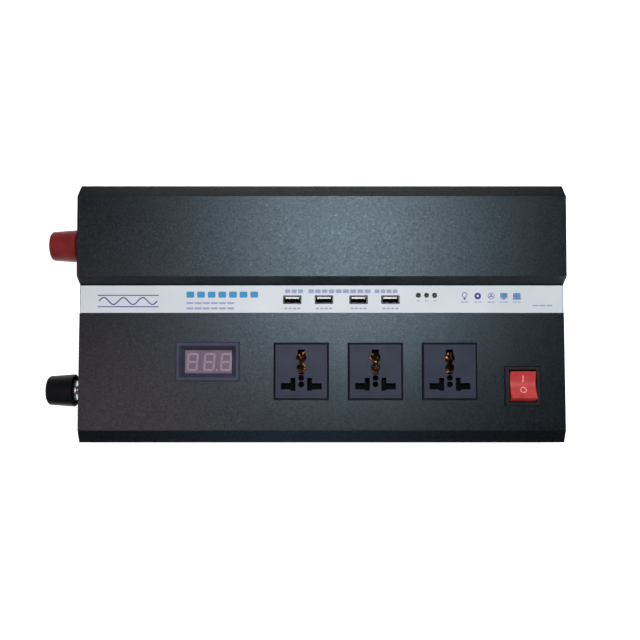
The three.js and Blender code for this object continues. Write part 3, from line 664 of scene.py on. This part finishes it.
def strip_lines():
    """Bars in the places of the title, the small print and the captions."""
    bright = Solid()
    dash_row(bright, *TITLE_ROW, gap=2.2)
    strip_mark(bright, "print_title_bars", BLUE_INK)
    pale = Solid()
    for row in TEXT_ROWS:
        dash_row(pale, *row)
    for i in range(1, 5):
        x = (middle(f"usb_port_{i}").x - CASE_X) / MM
        dash_row(pale, x - PORT_CAPTION.reach, x + PORT_CAPTION.reach, *PORT_CAPTION.row)
    for i in range(1, 4):
        y, width, height = LAMP_CAPTION
        dash(pale, (middle(f"led_{i}").x - CASE_X) / MM, y, width, height)
    for x in PICTOGRAM_X:
        reach = PICTOGRAM_CAPTION.reach
        dash_row(pale, x - reach, x + reach, *PICTOGRAM_CAPTION.row)
    dash_row(pale, *CORNER_ROW)
    strip_mark(pale, "print_small_bars", PALE_INK)


wave_mark()
pictograms()
strip_lines()

# --- Panel meter ---

# Flange, face, mouth, window, inside and body: (width, height), level
METER_FRAME = (
    ((48.2, 29.6), 0.3), ((48.2, 29.6), 1.4), ((46.4, 27.8), 2.3), ((42.6, 23.6), 2.3),
    ((35.6, 17.7), -2.4), ((35.6, 17.7), -3.6), ((41.4, 22.4), -3.6), ((41.4, 22.4), -9.0),
    ((45.4, 26.4), -9.0), ((45.4, 26.4), 0.3),
)
WINDOW_FRONT = 0.75  # from the window's middle
DIGIT = Sizes(
    height=13.7, width=8.6, pitch=12.7, middle=0.65, slant=tan(radians(5)),
    bar=1.7, tip=0.35, thickness=0.05,
)
DECIMAL_POINT = Sizes(x=6.3, y=-6.1, radius=0.75)


def meter_segments(solid, x):
    """Seven bars of one digit, leaning to the right, in millimetres about the window's middle."""
    bar = DIGIT.bar
    half_height, half_width = (DIGIT.height - bar) / 2, (DIGIT.width - bar) / 2
    level = [(0, y, 2 * half_width, 0) for y in (-half_height, 0, half_height)]
    upright = [(side * half_width, y, half_height, 1) for side in (-1, 1)
               for y in (-half_height / 2, half_height / 2)]
    for dx, dy, length, turned in level + upright:
        tip, half = length / 2 + DIGIT.tip * bar, bar / 2
        outline = [(-tip, 0), (half - tip, -half), (tip - half, -half),
                   (tip, 0), (tip - half, half), (half - tip, half)]
        points = [(b, a) if turned else (a, b) for a, b in outline]
        placed = [Vector((x + dx + px + (dy + py) * DIGIT.slant, dy + py, 0)) * MM for px, py in points]
        solid.prism(placed, 0, DIGIT.thickness * MM)


def meter():
    Solid().loft(framed(METER_FRAME), closed=True).make(
        "meter_frame", METER_SLATE, "case", over("meter_bezel"), "slate_plastic", ["meter_bezel"],
        bevel=0.12 * MM)
    keep("meter_window", WINDOW)
    keep("meter_board", BOARD)
    window = on_panel("meter_window")
    digits = Solid()
    for i in (-1, 0, 1):
        meter_segments(digits, i * DIGIT.pitch + DIGIT.middle)
    point = move((DECIMAL_POINT.x * MM, DECIMAL_POINT.y * MM, 0))
    digits.turn(disc(DECIMAL_POINT.radius * MM, 0, DIGIT.thickness * MM), point, 24)
    at = panel_place(window.x, window.y, window.z + WINDOW_FRONT * MM)
    digits.make("meter_digits", SEGMENT, "case", at)


meter()

# --- Rocker switch ---

# Well, face, flange and can: (width, height), level
SWITCH_FRAME = (
    ((20.4, 24.2), -10.5), ((20.4, 24.2), 2.3), ((25.8, 28.4), 2.3), ((27.4, 30.0), 1.4), ((27.4, 30.0), 0.3),
    ((24.4, 27.2), 0.3), ((24.4, 27.2), -18.0),
)
ROCKER = Sizes(
    width=19.2, half_length=10.0, rise=7.78, dip=3.4, waist=11.4, skirt=5.0,
    skirt_half=10.6, steps=24,
)
ROCKER_RING = Sizes(y=-3.3, outer=2.4, inner=1.65, steps=40)
ROCKER_BAR = Sizes(y=5.0, half_width=0.45, half_length=2.2, steps=8)
MARK_LIFTS = (-0.05, 0.06)  # underside and top of a mark over the rocker's skin


def rocker_top(y):
    """Height of the rocker's hollow top over its pivot, in millimetres."""
    return ROCKER.dip + (ROCKER.rise - ROCKER.dip) * (y / ROCKER.half_length) ** 2


def rocker_ring():
    """Thin ring that follows the hollow top."""
    outer, inner = ROCKER_RING.outer, ROCKER_RING.inner
    low, high = MARK_LIFTS
    rings = []
    for angle in angles(ROCKER_RING.steps):
        ring = []
        for radius, lift in ((outer, low), (outer, high), (inner, high), (inner, low)):
            y = ROCKER_RING.y + radius * sin(angle)
            ring.append(Vector((radius * cos(angle), y, rocker_top(y) + lift)) * MM)
        rings.append(ring)
    return Solid().loft(rings, closed=True)


def rocker_bar():
    """Thin bar that follows the hollow top."""
    half_width, steps = ROCKER_BAR.half_width, ROCKER_BAR.steps
    rings = []
    for k in range(steps + 1):
        y = ROCKER_BAR.y + ROCKER_BAR.half_length * (2 * k / steps - 1)
        low, high = (rocker_top(y) + lift for lift in MARK_LIFTS)
        ends = ((-half_width, low), (half_width, low), (half_width, high), (-half_width, high))
        rings.append([Vector((x, y, z)) * MM for x, z in ends])
    return Solid().loft(rings)


def rocker():
    Solid().loft(framed(SWITCH_FRAME)).make(
        "switch_frame", BLACK, "case", over("switch_body"), "black_plastic", ["switch_body"],
        bevel=0.2 * MM)
    tilt = radians(JOINTS["rocker_tilt"]["range_deg"][1] / 2)
    at = PANEL @ move((0, 0, -PIVOT_DEPTH)) @ Matrix.Rotation(-tilt, 4, "X")
    section = [(-ROCKER.waist, 0), (-ROCKER.skirt_half, -ROCKER.skirt),
               (ROCKER.skirt_half, -ROCKER.skirt), (ROCKER.waist, 0)]
    for i in range(ROCKER.steps + 1):
        y = ROCKER.half_length * (1 - 2 * i / ROCKER.steps)
        section.append((y, rocker_top(y)))
    half_width = ROCKER.width / 2
    ends = [[Vector((side * half_width, y, z)) * MM for y, z in section] for side in (-1, 1)]
    Solid().loft(ends).make("rocker_cap", RED_ROCKER, "rocker", at, "red_rocker", ["switch_rocker"], 0.5 * MM)
    rocker_ring().make("rocker_ring_mark", ROCKER_MARK, "rocker", at)
    rocker_bar().make("rocker_bar_mark", ROCKER_MARK, "rocker", at)


rocker()

# --- Outlets ---

# Flange and face, which stands just proud of it: (width, height), level. The ring is drawn in a darker slate,
# painted shade round the face.
OUTLET_SURROUND = (((41.6, 43.1), 0.3), ((41.6, 43.1), 0.8), ((38.6, 40.1), 2.24), ((38.6, 40.1), 0.3))
# Face plate, and the plug part that runs just into it: width, height, bottom, top, rounding
OUTLET_PLATES = ((38.6, 40.1, 0.3, 2.3, 0.14), (36.0, 37.6, -3.9, 0.35, 0.1))
EARTH_TOP, EARTH_TAIL = (2.65, 16.2), (2.05, -2.2)  # half width, height
# Middle, radius, half widths above and below
EARTH_SWELLINGS = ((10.1, 3.8, 2.65, 1.8), (2.8, 3.3, 1.8, 2.05))
ROUND_HOLES = Sizes(y=(-4.95, -9.8), radius=2.15)
PIN_SLOT = (
    (4.4, -14.5), (8.0, -14.5), (8.0, -13.5), (15.2, -13.5),
    (15.2, -8.9), (8.0, -8.9), (8.0, -4.9), (4.4, -4.9),
)
PIN = Sizes(x=9.9, y=-10.6)
LEAF = Sizes(half_width=3.4, half_thickness=0.25)
LEAF_PATH = ((2.9, -9), (1.9, -11), (2.3, -15), (3.2, -20))  # distance from the pin's middle, height
ARC_STEPS, HOLE_STEPS = 12, 32


def earth_outline():
    """Keyhole with two round swellings, for round and flat earth pins."""
    right = [EARTH_TOP]
    for centre, radius, above, below in EARTH_SWELLINGS:
        start, end = acos(above / radius), -acos(below / radius)
        for k in range(ARC_STEPS + 1):
            angle = start + (end - start) * k / ARC_STEPS
            right.append((radius * cos(angle), centre + radius * sin(angle)))
    right.append(EARTH_TAIL)
    return right + [(-x, y) for x, y in reversed(right)]


def outlet_holes():
    """Outlines of every pin hole, in metres."""
    holes = [earth_outline()]
    for side in (-1, 1):
        holes.append([(side * x, y) for x, y in PIN_SLOT])
    radius = ROUND_HOLES.radius
    for y in ROUND_HOLES.y:
        holes.append([(radius * cos(a), y + radius * sin(a)) for a in angles(HOLE_STEPS)])
    return [in_metres(hole) for hole in holes]


def outlet_face():
    """Face plate and the plug part behind it, both pierced for the pins."""
    solid = Solid()
    for width, height, bottom, top, bevel in OUTLET_PLATES:
        outline = rounded_rectangle(width * MM, height * MM, 0.4 * MM, 4)
        solid.plate(outline, outlet_holes(), bottom * MM, top * MM, bevel * MM)
    return solid


def leaf(solid, size, path):
    """Thin strip along a path; all in millimetres."""
    section = rectangle(size.half_width, size.half_thickness)
    solid.loft([[(Vector(point) + corner) * MM for corner in section] for point in path])


def outlets():
    for i in range(1, 4):
        name = f"outlet_{i}"
        at = over(f"{name}_face")
        outlet_face().make(f"{name}_front", SLATE, "case", at, "slate_plastic", [f"{name}_face"], sharp=20)
        # Painted shade: the ring round the face is drawn in the darker slate.
        surround = Solid().loft(framed(OUTLET_SURROUND), closed=True)
        surround.make(f"{name}_surround", SHADED_SLATE, "case", at, sharp=20)
        # Painted shade: the outlet's body and shutter are drawn nearly black for the shade of the wells.
        keep(f"{name}_body", WELL_SHADE)
        keep(f"{name}_shutter", WELL_SHADE)
        # Painted shade: the earth contact is drawn in the darkened brass.
        keep(f"{name}_earth_contact", SHADED_BRASS)
        # The power contacts carry the same painted shade in brass.
        contacts = Solid()
        for side in (-1, 1):
            for grip in (-1, 1):
                leaf(contacts, LEAF, [(side * PIN.x, PIN.y + grip * offset, z) for offset, z in LEAF_PATH])
        contacts.make(f"{name}_power_contacts", SHADED_BRASS, "case", at)


outlets()

# --- USB ports and lamps ---

# Mouth and outside of the shell, then gasket round it: (width, height), level
USB_SHELL = (((12.3, 4.95), -13.0), ((12.3, 4.95), 0.3), ((13.1, 5.75), 0.3), ((13.1, 5.75), -13.4))
USB_GASKET = (((13.9, 6.55), -0.35), ((13.9, 6.55), 0.1), ((13.1, 5.75), 0.1), ((13.1, 5.75), -0.35))
USB_FLOOR = -13.0
USB_TONGUE = Sizes(size=(10.2, 1.3, 12.2), y=1.45)
USB_INSULATOR = (12.1, 4.8, 6)
USB_CONTACTS = Sizes(pitch=2.25, radius=0.75, y=0.65)
USB_CONTACT = ((0, 0), (1, 0), (1, 11), (0.6, 11.7), (0, 11.9))  # share of the radius, height
USB_SPRINGS = Sizes(x=3.0, half_width=1.3, half_thickness=0.12)
USB_SPRING_PATH = ((0, -1.0), (0.55, -4.0), (0.2, -7.5))  # distance from the wall, height
LAMP = Sizes(radius=1.45, flange=2.1, centre=-0.5, back=-7.0, flange_top=-6.0)
LAMP_LEG = Sizes(x=1.27, size=(0.5, 0.5, 6.9), bottom=-13.8)


def usb_springs(solid):
    """Two leaves pressed inwards from the shell's front wall."""
    wall = -USB_SHELL[0][0][1] / 2
    for x in (-USB_SPRINGS.x, USB_SPRINGS.x):
        leaf(solid, USB_SPRINGS, [(x, wall + reach, z) for reach, z in USB_SPRING_PATH])


def usb_block(name, material, size, y, bottom, at):
    place = move((0, y * MM, bottom * MM))
    Solid().block([side * MM for side in size], place).make(name, material, "case", at)


def usb_ports():
    for i in range(1, 5):
        node = f"usb_port_{i}"
        at = over(node)
        shell = Solid().loft(framed(USB_SHELL))
        usb_springs(shell)
        # Painted shade: the shell is drawn in the darkened steel.
        shell.make(f"usb_shell_{i}", SHADED_USB_STEEL, "case", at, "steel", [node], bevel=0.1 * MM)
        Solid().loft(framed(USB_GASKET), closed=True).make(f"usb_gasket_{i}", RUBBER, "case", at)
        usb_block(f"usb_tongue_{i}", WHITE, USB_TONGUE.size, USB_TONGUE.y, USB_FLOOR, at)
        pins = Solid()
        for step in (-1.5, -0.5, 0.5, 1.5):
            x = step * USB_CONTACTS.pitch
            place = move((x * MM, USB_CONTACTS.y * MM, USB_FLOOR * MM))
            pins.turn(in_metres((share * USB_CONTACTS.radius, z) for share, z in USB_CONTACT), place, 16)
        # Painted shade: the USB contacts and insulator are drawn nearly black for the shade inside the port.
        pins.make(f"usb_contacts_{i}", WELL_SHADE, "case", at)
        usb_block(f"usb_insulator_{i}", WELL_SHADE, USB_INSULATOR, 0, USB_FLOOR + 0.01, at)
    keep("usb_board", BOARD)


def lamps():
    for i in range(1, 4):
        node = f"led_{i}"
        at = over(node)
        radius = LAMP.radius
        profile = [(0, LAMP.back), (LAMP.flange, LAMP.back), (LAMP.flange, LAMP.flange_top),
                   (radius, LAMP.flange_top)]
        for k in range(10):
            angle = radians(10 * k)
            profile.append((radius * cos(angle), LAMP.centre + radius * sin(angle)))
        lens = Solid().turn(in_metres(profile), steps=32)
        lens.make(f"lamp_{i}", LED_LENS, "case", at, "led_green", [node])
        legs = Solid()
        for x in (-LAMP_LEG.x, LAMP_LEG.x):
            place = move((x * MM, 0, LAMP_LEG.bottom * MM))
            legs.block([side * MM for side in LAMP_LEG.size], place, 0.05 * MM)
        legs.make(f"lamp_legs_{i}", STEEL, "case", at)


usb_ports()
lamps()

# --- Battery posts ---

THREAD = Sizes(radius=4.0 * MM, depth=0.55 * MM, pitch=1.25 * MM, short=0.6 * MM, steps=40, rows=6)
COLLAR = ((4.3, -5), (5.7, -5), (5.7, 0), (11, 0), (11, 1.8), (10.4, 2.4), (4.3, 2.4))  # radius, height
NUT = ((7.45, 2.75), (7.5, 3.1), (7.5, 6.3), (6.6, 6.7))
WASHER = Sizes(bore=4.4 * MM, radius=7.5 * MM)
KNOB_OUTSIDE = ((0, 0.5), (9.2, 0.5), (9.6, 0), (10.4, 0), (11.5, 1.3))  # radius, depth from the tip
KNOB_INSIDE = (  # radius, height from the knob's inner end
    (12.9, 0.5), (12.3, 0), (11.9, 0.3), (11.6, 4), (8.3, 4), (8.1, 0.3), (7.8, 0), (4.3, 0),
)
KNOB_BORE = 4.3 * MM
KNOB_END = 3.0 * MM  # wall between the bore and the tip


def threaded_rod(solid, start, length, at):
    """Rod whose skin rises and falls once a pitch along a helix."""
    steps, rows, pitch = THREAD.steps, THREAD.rows, THREAD.pitch
    rings = [[Vector((0, 0, start))]]
    for k in range(int(length / pitch * rows) + 1):
        ring = []
        for i, angle in enumerate(angles(steps)):
            phase = (k / rows - i / steps) % 1
            radius = THREAD.radius - THREAD.depth * abs(2 * phase - 1)
            ring.append(polar(radius, angle, start + k * pitch / rows))
        rings.append(ring)
    rings.append([Vector((0, 0, start + length))])
    solid.loft(rings, at)


def battery_post(name, plastic, slot):
    low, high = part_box(f"{name}_knob")
    centre = (low + high) / 2
    at = move((LEFT_FACE, centre.y, centre.z)) @ TO_LEFT
    start, tip = LEFT_FACE - high.x, LEFT_FACE - low.x
    Solid().turn(in_metres(COLLAR), at, 64, closed=True).make(
        f"{name}_insulator", plastic, "case", slot=slot, replaces=[f"{name}_collar"], bevel=0.3 * MM)
    stud = Solid()
    stud_low, stud_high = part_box(f"{name}_stud")
    threaded_rod(stud, LEFT_FACE - stud_high.x, stud_high.x - stud_low.x - THREAD.short, at)
    stud.loft([circle(r, z, 6, radians(30)) for r, z in in_metres(NUT)], at)
    stud.make(f"{name}_threaded_stud", STEEL, "case", slot="steel", replaces=[f"{name}_stud"],
              bevel=0.12 * MM)
    washer_low, washer_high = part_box(f"{name}_washer")
    inner, outer = LEFT_FACE - washer_high.x, LEFT_FACE - washer_low.x
    bore, radius = WASHER.bore, WASHER.radius
    Solid().turn([(bore, inner), (radius, inner), (radius, outer), (bore, outer)], at, 56, closed=True).make(
        f"{name}_plain_washer", STEEL, f"{name}_washer_body", slot="steel", replaces=[f"{name}_washer"],
        bevel=0.2 * MM)
    outside = [(r * MM, tip - z * MM) for r, z in KNOB_OUTSIDE]
    inside_end = [(r * MM, start + z * MM) for r, z in KNOB_INSIDE]
    profile = [*outside, *inside_end, (KNOB_BORE, tip - KNOB_END), (0, tip - KNOB_END)]
    Solid().turn(profile, at, 96).make(
        f"{name}_cap", plastic, f"{name}_knob_body", slot=slot, replaces=[f"{name}_knob"], bevel=0.15 * MM,
        sharp=40)


battery_post("positive", RED_KNOB, "red_plastic")
battery_post("negative", BLACK_KNOB, "black_plastic")

# --- Fans ---

FAN = Sizes(
    side=60 * MM, corner=3 * MM, bore=28 * MM, flare=28.9 / 28, lip=1.2 * MM, hub=11.5 * MM,
    strut=3 * MM, bolt=25 * MM,
)
ROTOR = Sizes(back=4.2 * MM, front=-2.6 * MM, round=1 * MM, dish=0.25 * MM, blades=7)
BLADE = Sizes(tip=26.8 * MM, root=0.6 * MM, span=6, sweep=0.34)
BLADE_SECTION = (  # share of the chord, millimetres across it
    (-0.5, -0.3), (-0.25, -0.55), (0.1, -0.62), (0.5, -0.2),
    (0.5, 0.0), (0.1, 0.5), (-0.25, 0.6), (-0.5, 0.2),
)
GUARD = Sizes(
    rings=(8, 16, 24), ring_wire=0.75 * MM, ring_height=2.0 * MM, arm_wire=0.62 * MM,
    arm_height=1.0 * MM, arm_short=1.6 * MM, eye=2.3 * MM, eye_wire=0.6 * MM, eye_height=0.7 * MM,
    screw_height=0.5 * MM,
)
ARM_STEPS = (-1, -0.94, -0.5, 0, 0.5, 0.94, 1)


def cut_sides(outline, parts):
    """The outline with each long straight side cut into this many parts."""
    points = []
    for start, end in zip(outline, [*outline[1:], outline[0]]):
        count = parts if (end - start).length > 10 * MM else 1
        points += [start.lerp(end, k / count) for k in range(count)]
    return points


def fan_frame(i, at, depth):
    """Square moulding with a round duct, flared at the mouth, and four struts to the motor disc."""
    solid = Solid()
    outline = cut_sides(rounded_rectangle(FAN.side, FAN.side, FAN.corner, 9), 18)
    bore, hub, strut = FAN.bore, FAN.hub, FAN.strut
    duct = [Vector((bore * p.x / p.xy.length, bore * p.y / p.xy.length, 0)) for p in outline]
    back, lip = Vector((0, 0, -depth)), Vector((0, 0, -FAN.lip))
    rings = [[p + back for p in outline], outline, [p * FAN.flare for p in duct],
             [p + lip for p in duct], [p + back for p in duct]]
    solid.loft(rings, at, closed=True)
    for k in range(4):
        spin = Matrix.Rotation(radians(45 + 90 * k), 4, "Z")
        place = spin @ move(((hub + bore) / 2, 0, -depth))
        solid.block((bore - hub + 2 * MM, strut, strut), at @ place)
    solid.turn(disc(hub, -depth, strut - depth), at, 56)
    solid.make(f"fan_duct_{i}", BLACK, "case", slot="black_plastic", replaces=[f"fan_{i}_frame"],
               bevel=0.3 * MM)


def fan_impeller(i, at, depth):
    """Hub with curved blades, twisted from root to tip."""
    solid = Solid()
    back, front, hub = ROTOR.back - depth, ROTOR.front, FAN.hub
    dish = front - ROTOR.dish
    cup = [(0, back), (hub, back), (hub, front - ROTOR.round), (hub - ROTOR.round, front),
           (0.62 * hub, front), (0.6 * hub, dish), (0, dish)]
    solid.turn(cup, at, 56)
    root = hub - BLADE.root
    for blade in angles(ROTOR.blades):
        rings = []
        for s in range(BLADE.span + 1):
            share = s / BLADE.span
            radius = root + (BLADE.tip - root) * share
            pitch = radians(46 - 14 * share)
            chord = (8.6 + 2.2 * share) * MM
            turned = BLADE.sweep * share + blade
            ring = []
            for along, across in BLADE_SECTION:
                arc = along * chord * cos(pitch) - across * MM * sin(pitch)
                rise = along * chord * sin(pitch) + across * MM * cos(pitch)
                ring.append(polar(radius, arc / radius + turned, (back + front) / 2 + rise))
            rings.append(ring)
        solid.loft(rings, at)
    solid.make(f"fan_rotor_{i}", BLACK, f"impeller_{i}", slot="black_plastic", replaces=[f"fan_{i}_impeller"],
               sharp=50)


def fan_guard(i, at):
    """Wire rings on two crossed wires, with an eye at each corner under a screw."""
    solid = Solid()
    bolt = FAN.bolt
    for radius in GUARD.rings:
        place = move((0, 0, GUARD.ring_height))
        solid.ring(radius * MM, GUARD.ring_wire, at @ place)
    for sy in (1, -1):
        reach = bolt - GUARD.arm_short
        points = [Vector((reach * t, sy * reach * t, GUARD.arm_height)) for t in ARM_STEPS]
        solid.wire([at @ p for p in points], GUARD.arm_wire)
    corners = [at @ move((sx * bolt, sy * bolt, 0)) for sx, sy in ((-1, -1), (1, -1), (-1, 1), (1, 1))]
    for corner in corners:
        solid.ring(GUARD.eye, GUARD.eye_wire, corner @ move((0, 0, GUARD.eye_height)), 32)
    solid.make(f"fan_grille_{i}", STEEL, "case", slot="steel", replaces=[f"fan_{i}_guard"])
    for k, corner in enumerate(corners, 1):
        name = f"guard_{i}_screw_{k}"
        pan_screw(name, f"{name}_recess", corner @ move((0, 0, GUARD.screw_height)), GUARD_SCREW)


def fans():
    for i in (1, 2):
        low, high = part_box(f"fan_{i}_frame")
        centre = (low + high) / 2
        mouth = move((high.x, centre.y, centre.z)) @ TO_RIGHT
        fan_frame(i, mouth, high.x - low.x)
        fan_impeller(i, mouth, high.x - low.x)
        fan_guard(i, move((RIGHT_FACE, centre.y, centre.z)) @ TO_RIGHT)


fans()

# --- Inside ---

# In millimetres: x from the middle of the case, and heights from the board
CAPACITORS = Sizes(count=4, x=-15, pitch=20, y=-30)
CAN = ((0, 0), (8, 0), (8, 1.2), (7.7, 1.8), (8, 2.4), (8, 29), (7.3, 30), (6.6, 29.7), (0, 29.7))
CHOKE = Sizes(place=(95, 5, 19), ring=12, core=5, coil=5.8, wire=0.7, wound=0.9)
COIL_TURNS, TURN_STEPS = 22, 10


def inside():
    keep("main_board", BOARD)
    keep("heat_sink", ALUMINIUM, 0.2 * MM)
    for i in (1, 2):
        keep(f"transformer_{i}", FERRITE, 0.5 * MM)
    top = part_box("main_board")[1].z
    for k in range(CAPACITORS.count):
        x = CASE_X + CAPACITORS.x * MM + k * CAPACITORS.pitch * MM
        at = move((x, CAPACITORS.y * MM, top))
        Solid().turn(in_metres(CAN), at, 40).make(f"capacitor_{k + 1}", BLACK_KNOB, "case")
    x, y, z = (side * MM for side in CHOKE.place)
    spot = move((CASE_X + x, y, top + z)) @ Matrix.Rotation(radians(90), 4, "X")
    core = Solid().ring(CHOKE.ring * MM, CHOKE.core * MM, spot, 48)
    core.make("choke_core", FERRITE, "case")
    path = []
    for k in range(COIL_TURNS * TURN_STEPS):
        around = 2 * pi * CHOKE.wound * k / (COIL_TURNS * TURN_STEPS)
        spin = 2 * pi * k / TURN_STEPS
        radius = CHOKE.ring + CHOKE.coil * cos(spin)
        path.append(spot @ (polar(radius, around, CHOKE.coil * sin(spin)) * MM))
    Solid().wire(path, CHOKE.wire * MM, 6).make("choke_winding", COPPER, "case")


inside()

# --- Stage, light and camera ---

BACKDROP_RADIUS = 9.0
CARD_REACH = (0.38, 0.215)  # half its width and depth
FLOOR = {"tone": 0.8, "glow": 0.85}
CARD = {"tone": 0.05, "glow": 2.4}
BACKDROP = {"tone": 0.1, "glow": 0.95}
MOTTLE = 1.02  # a stage surface's palest tone over its darkest
SKY = ((0.0, 0.1), (0.16, 0.2), (0.4, 0.2), (0.62, 0.07), (0.85, 0.1))  # height, brightness
# Name, place and aim with x from the middle of the case, size, power, colour
SOFTBOXES = (
    ("overhead", (0.045, 0.22, 1.0), (0.045, 0.22, 0), (0.28, 0.28), 7.7, (0.94, 0.97, 1.0)),
    ("warm", (-0.36, -0.12, 1.0), (-0.1, -0.09, 0.08), (0.34, 0.34), 2.1, (1.0, 0.6, 0.58)),
    ("cool", (-0.06, -1.04, 0.82), (0, -0.09, 0.07), (0.3, 0.3), 1.0, (0.4, 0.7, 1.0)),
    ("front", (0, -1.7, 0.13), (0, 0, 0.04), (0.8, 0.2), 5, (0.93, 0.97, 1.0)),
    ("rear", (0, 1.9, 0.45), (0, 0, 0.04), (0.8, 0.4), 4, (1, 1, 1)),
    ("left", (-1.9, 0, 0.45), (0, 0, 0.04), (0.8, 0.5), 1.2, (1, 1, 1)),
    ("right", (1.9, 0, 0.35), (0, 0, 0.04), (0.8, 0.4), 3, (1, 1, 1)),
)


def stage_piece(name, mesh, tone, glow):
    """Pale surface that glows evenly, so that it stays plain behind the object."""
    data = bpy.data.meshes.new(name)
    mesh.to_mesh(data)
    mesh.free()
    piece = add_object(name, data)
    shader = Shader(name, Roughness=0.9, Emission_Color=(1, 1, 1, 1), Emission_Strength=glow)
    shader.tones(shader.noise(0.4), (0.3, (tone, tone, tone)), (0.7, (MOTTLE * tone,) * 3))
    data.materials.append(shader.material)
    piece.visible_shadow = False
    return piece


def flat_card(name, half_width, half_depth, height, tone, glow):
    mesh = bmesh.new()
    bmesh.ops.create_circle(mesh, cap_ends=True, segments=96, radius=1)
    place = move((CASE_X, 0, height)) @ Matrix.Diagonal((half_width, half_depth, 1, 1))
    bmesh.ops.transform(mesh, verts=mesh.verts, matrix=place)
    return stage_piece(name, mesh, tone, glow)


def studio():
    """White floor and backdrop, and under the floor a bright card that only reflections see."""
    reach = 0.98 * BACKDROP_RADIUS
    flat_card("floor", reach, reach, 0, **FLOOR).visible_glossy = False
    card = flat_card("reflection_card", *CARD_REACH, -0.5 * MM, **CARD)
    card.visible_camera = False
    card.visible_diffuse = False
    dome = bmesh.new()
    bmesh.ops.create_uvsphere(dome, u_segments=96, v_segments=48, radius=BACKDROP_RADIUS)
    backdrop = stage_piece("backdrop", dome, **BACKDROP)
    backdrop.visible_glossy = False
    backdrop.visible_diffuse = False


def softbox(name, place, target, size, power, color):
    light = bpy.data.lights.new(name, "AREA")
    light.shape = "RECTANGLE"
    light.size, light.size_y = size
    light.energy = power
    light.color = color
    origin = Vector((CASE_X, 0, 0))
    lamp = add_object(name, light)
    lamp.location = origin + Vector(place)
    lamp.rotation_euler = (Vector(target) - Vector(place)).to_track_quat("-Z", "Y").to_euler()


def sky():
    """Bright band round the horizon under a dim grey sky."""
    world = bpy.data.worlds.new("studio")
    bpy.context.scene.world = world
    world.use_nodes = True
    tree = world.node_tree
    place = tree.nodes.new("ShaderNodeTexCoord")
    split = tree.nodes.new("ShaderNodeSeparateXYZ")
    ramp = tree.nodes.new("ShaderNodeValToRGB")
    fill_ramp(ramp, [(height, (brightness,) * 3) for height, brightness in SKY])
    tree.links.new(place.outputs["Generated"], split.inputs["Vector"])
    tree.links.new(split.outputs["Z"], ramp.inputs["Fac"])
    tree.links.new(ramp.outputs["Color"], tree.nodes["Background"].inputs["Color"])
    tree.nodes["Background"].inputs["Strength"].default_value = 1.0


def camera():
    data = bpy.data.cameras.new("camera")
    data.lens = CAMERA_LENS
    data.clip_start = 0.01
    eye = add_object("camera", data)
    eye.location = (CASE_X + CAMERA_OFFSET[0], middle("top_housing").y + CAMERA_OFFSET[1], CAMERA_HEIGHT)
    bpy.context.scene.camera = eye


studio()
sky()
for box in SOFTBOXES:
    softbox(*box)
camera()
bpy.context.scene.view_settings.view_transform = "Standard"
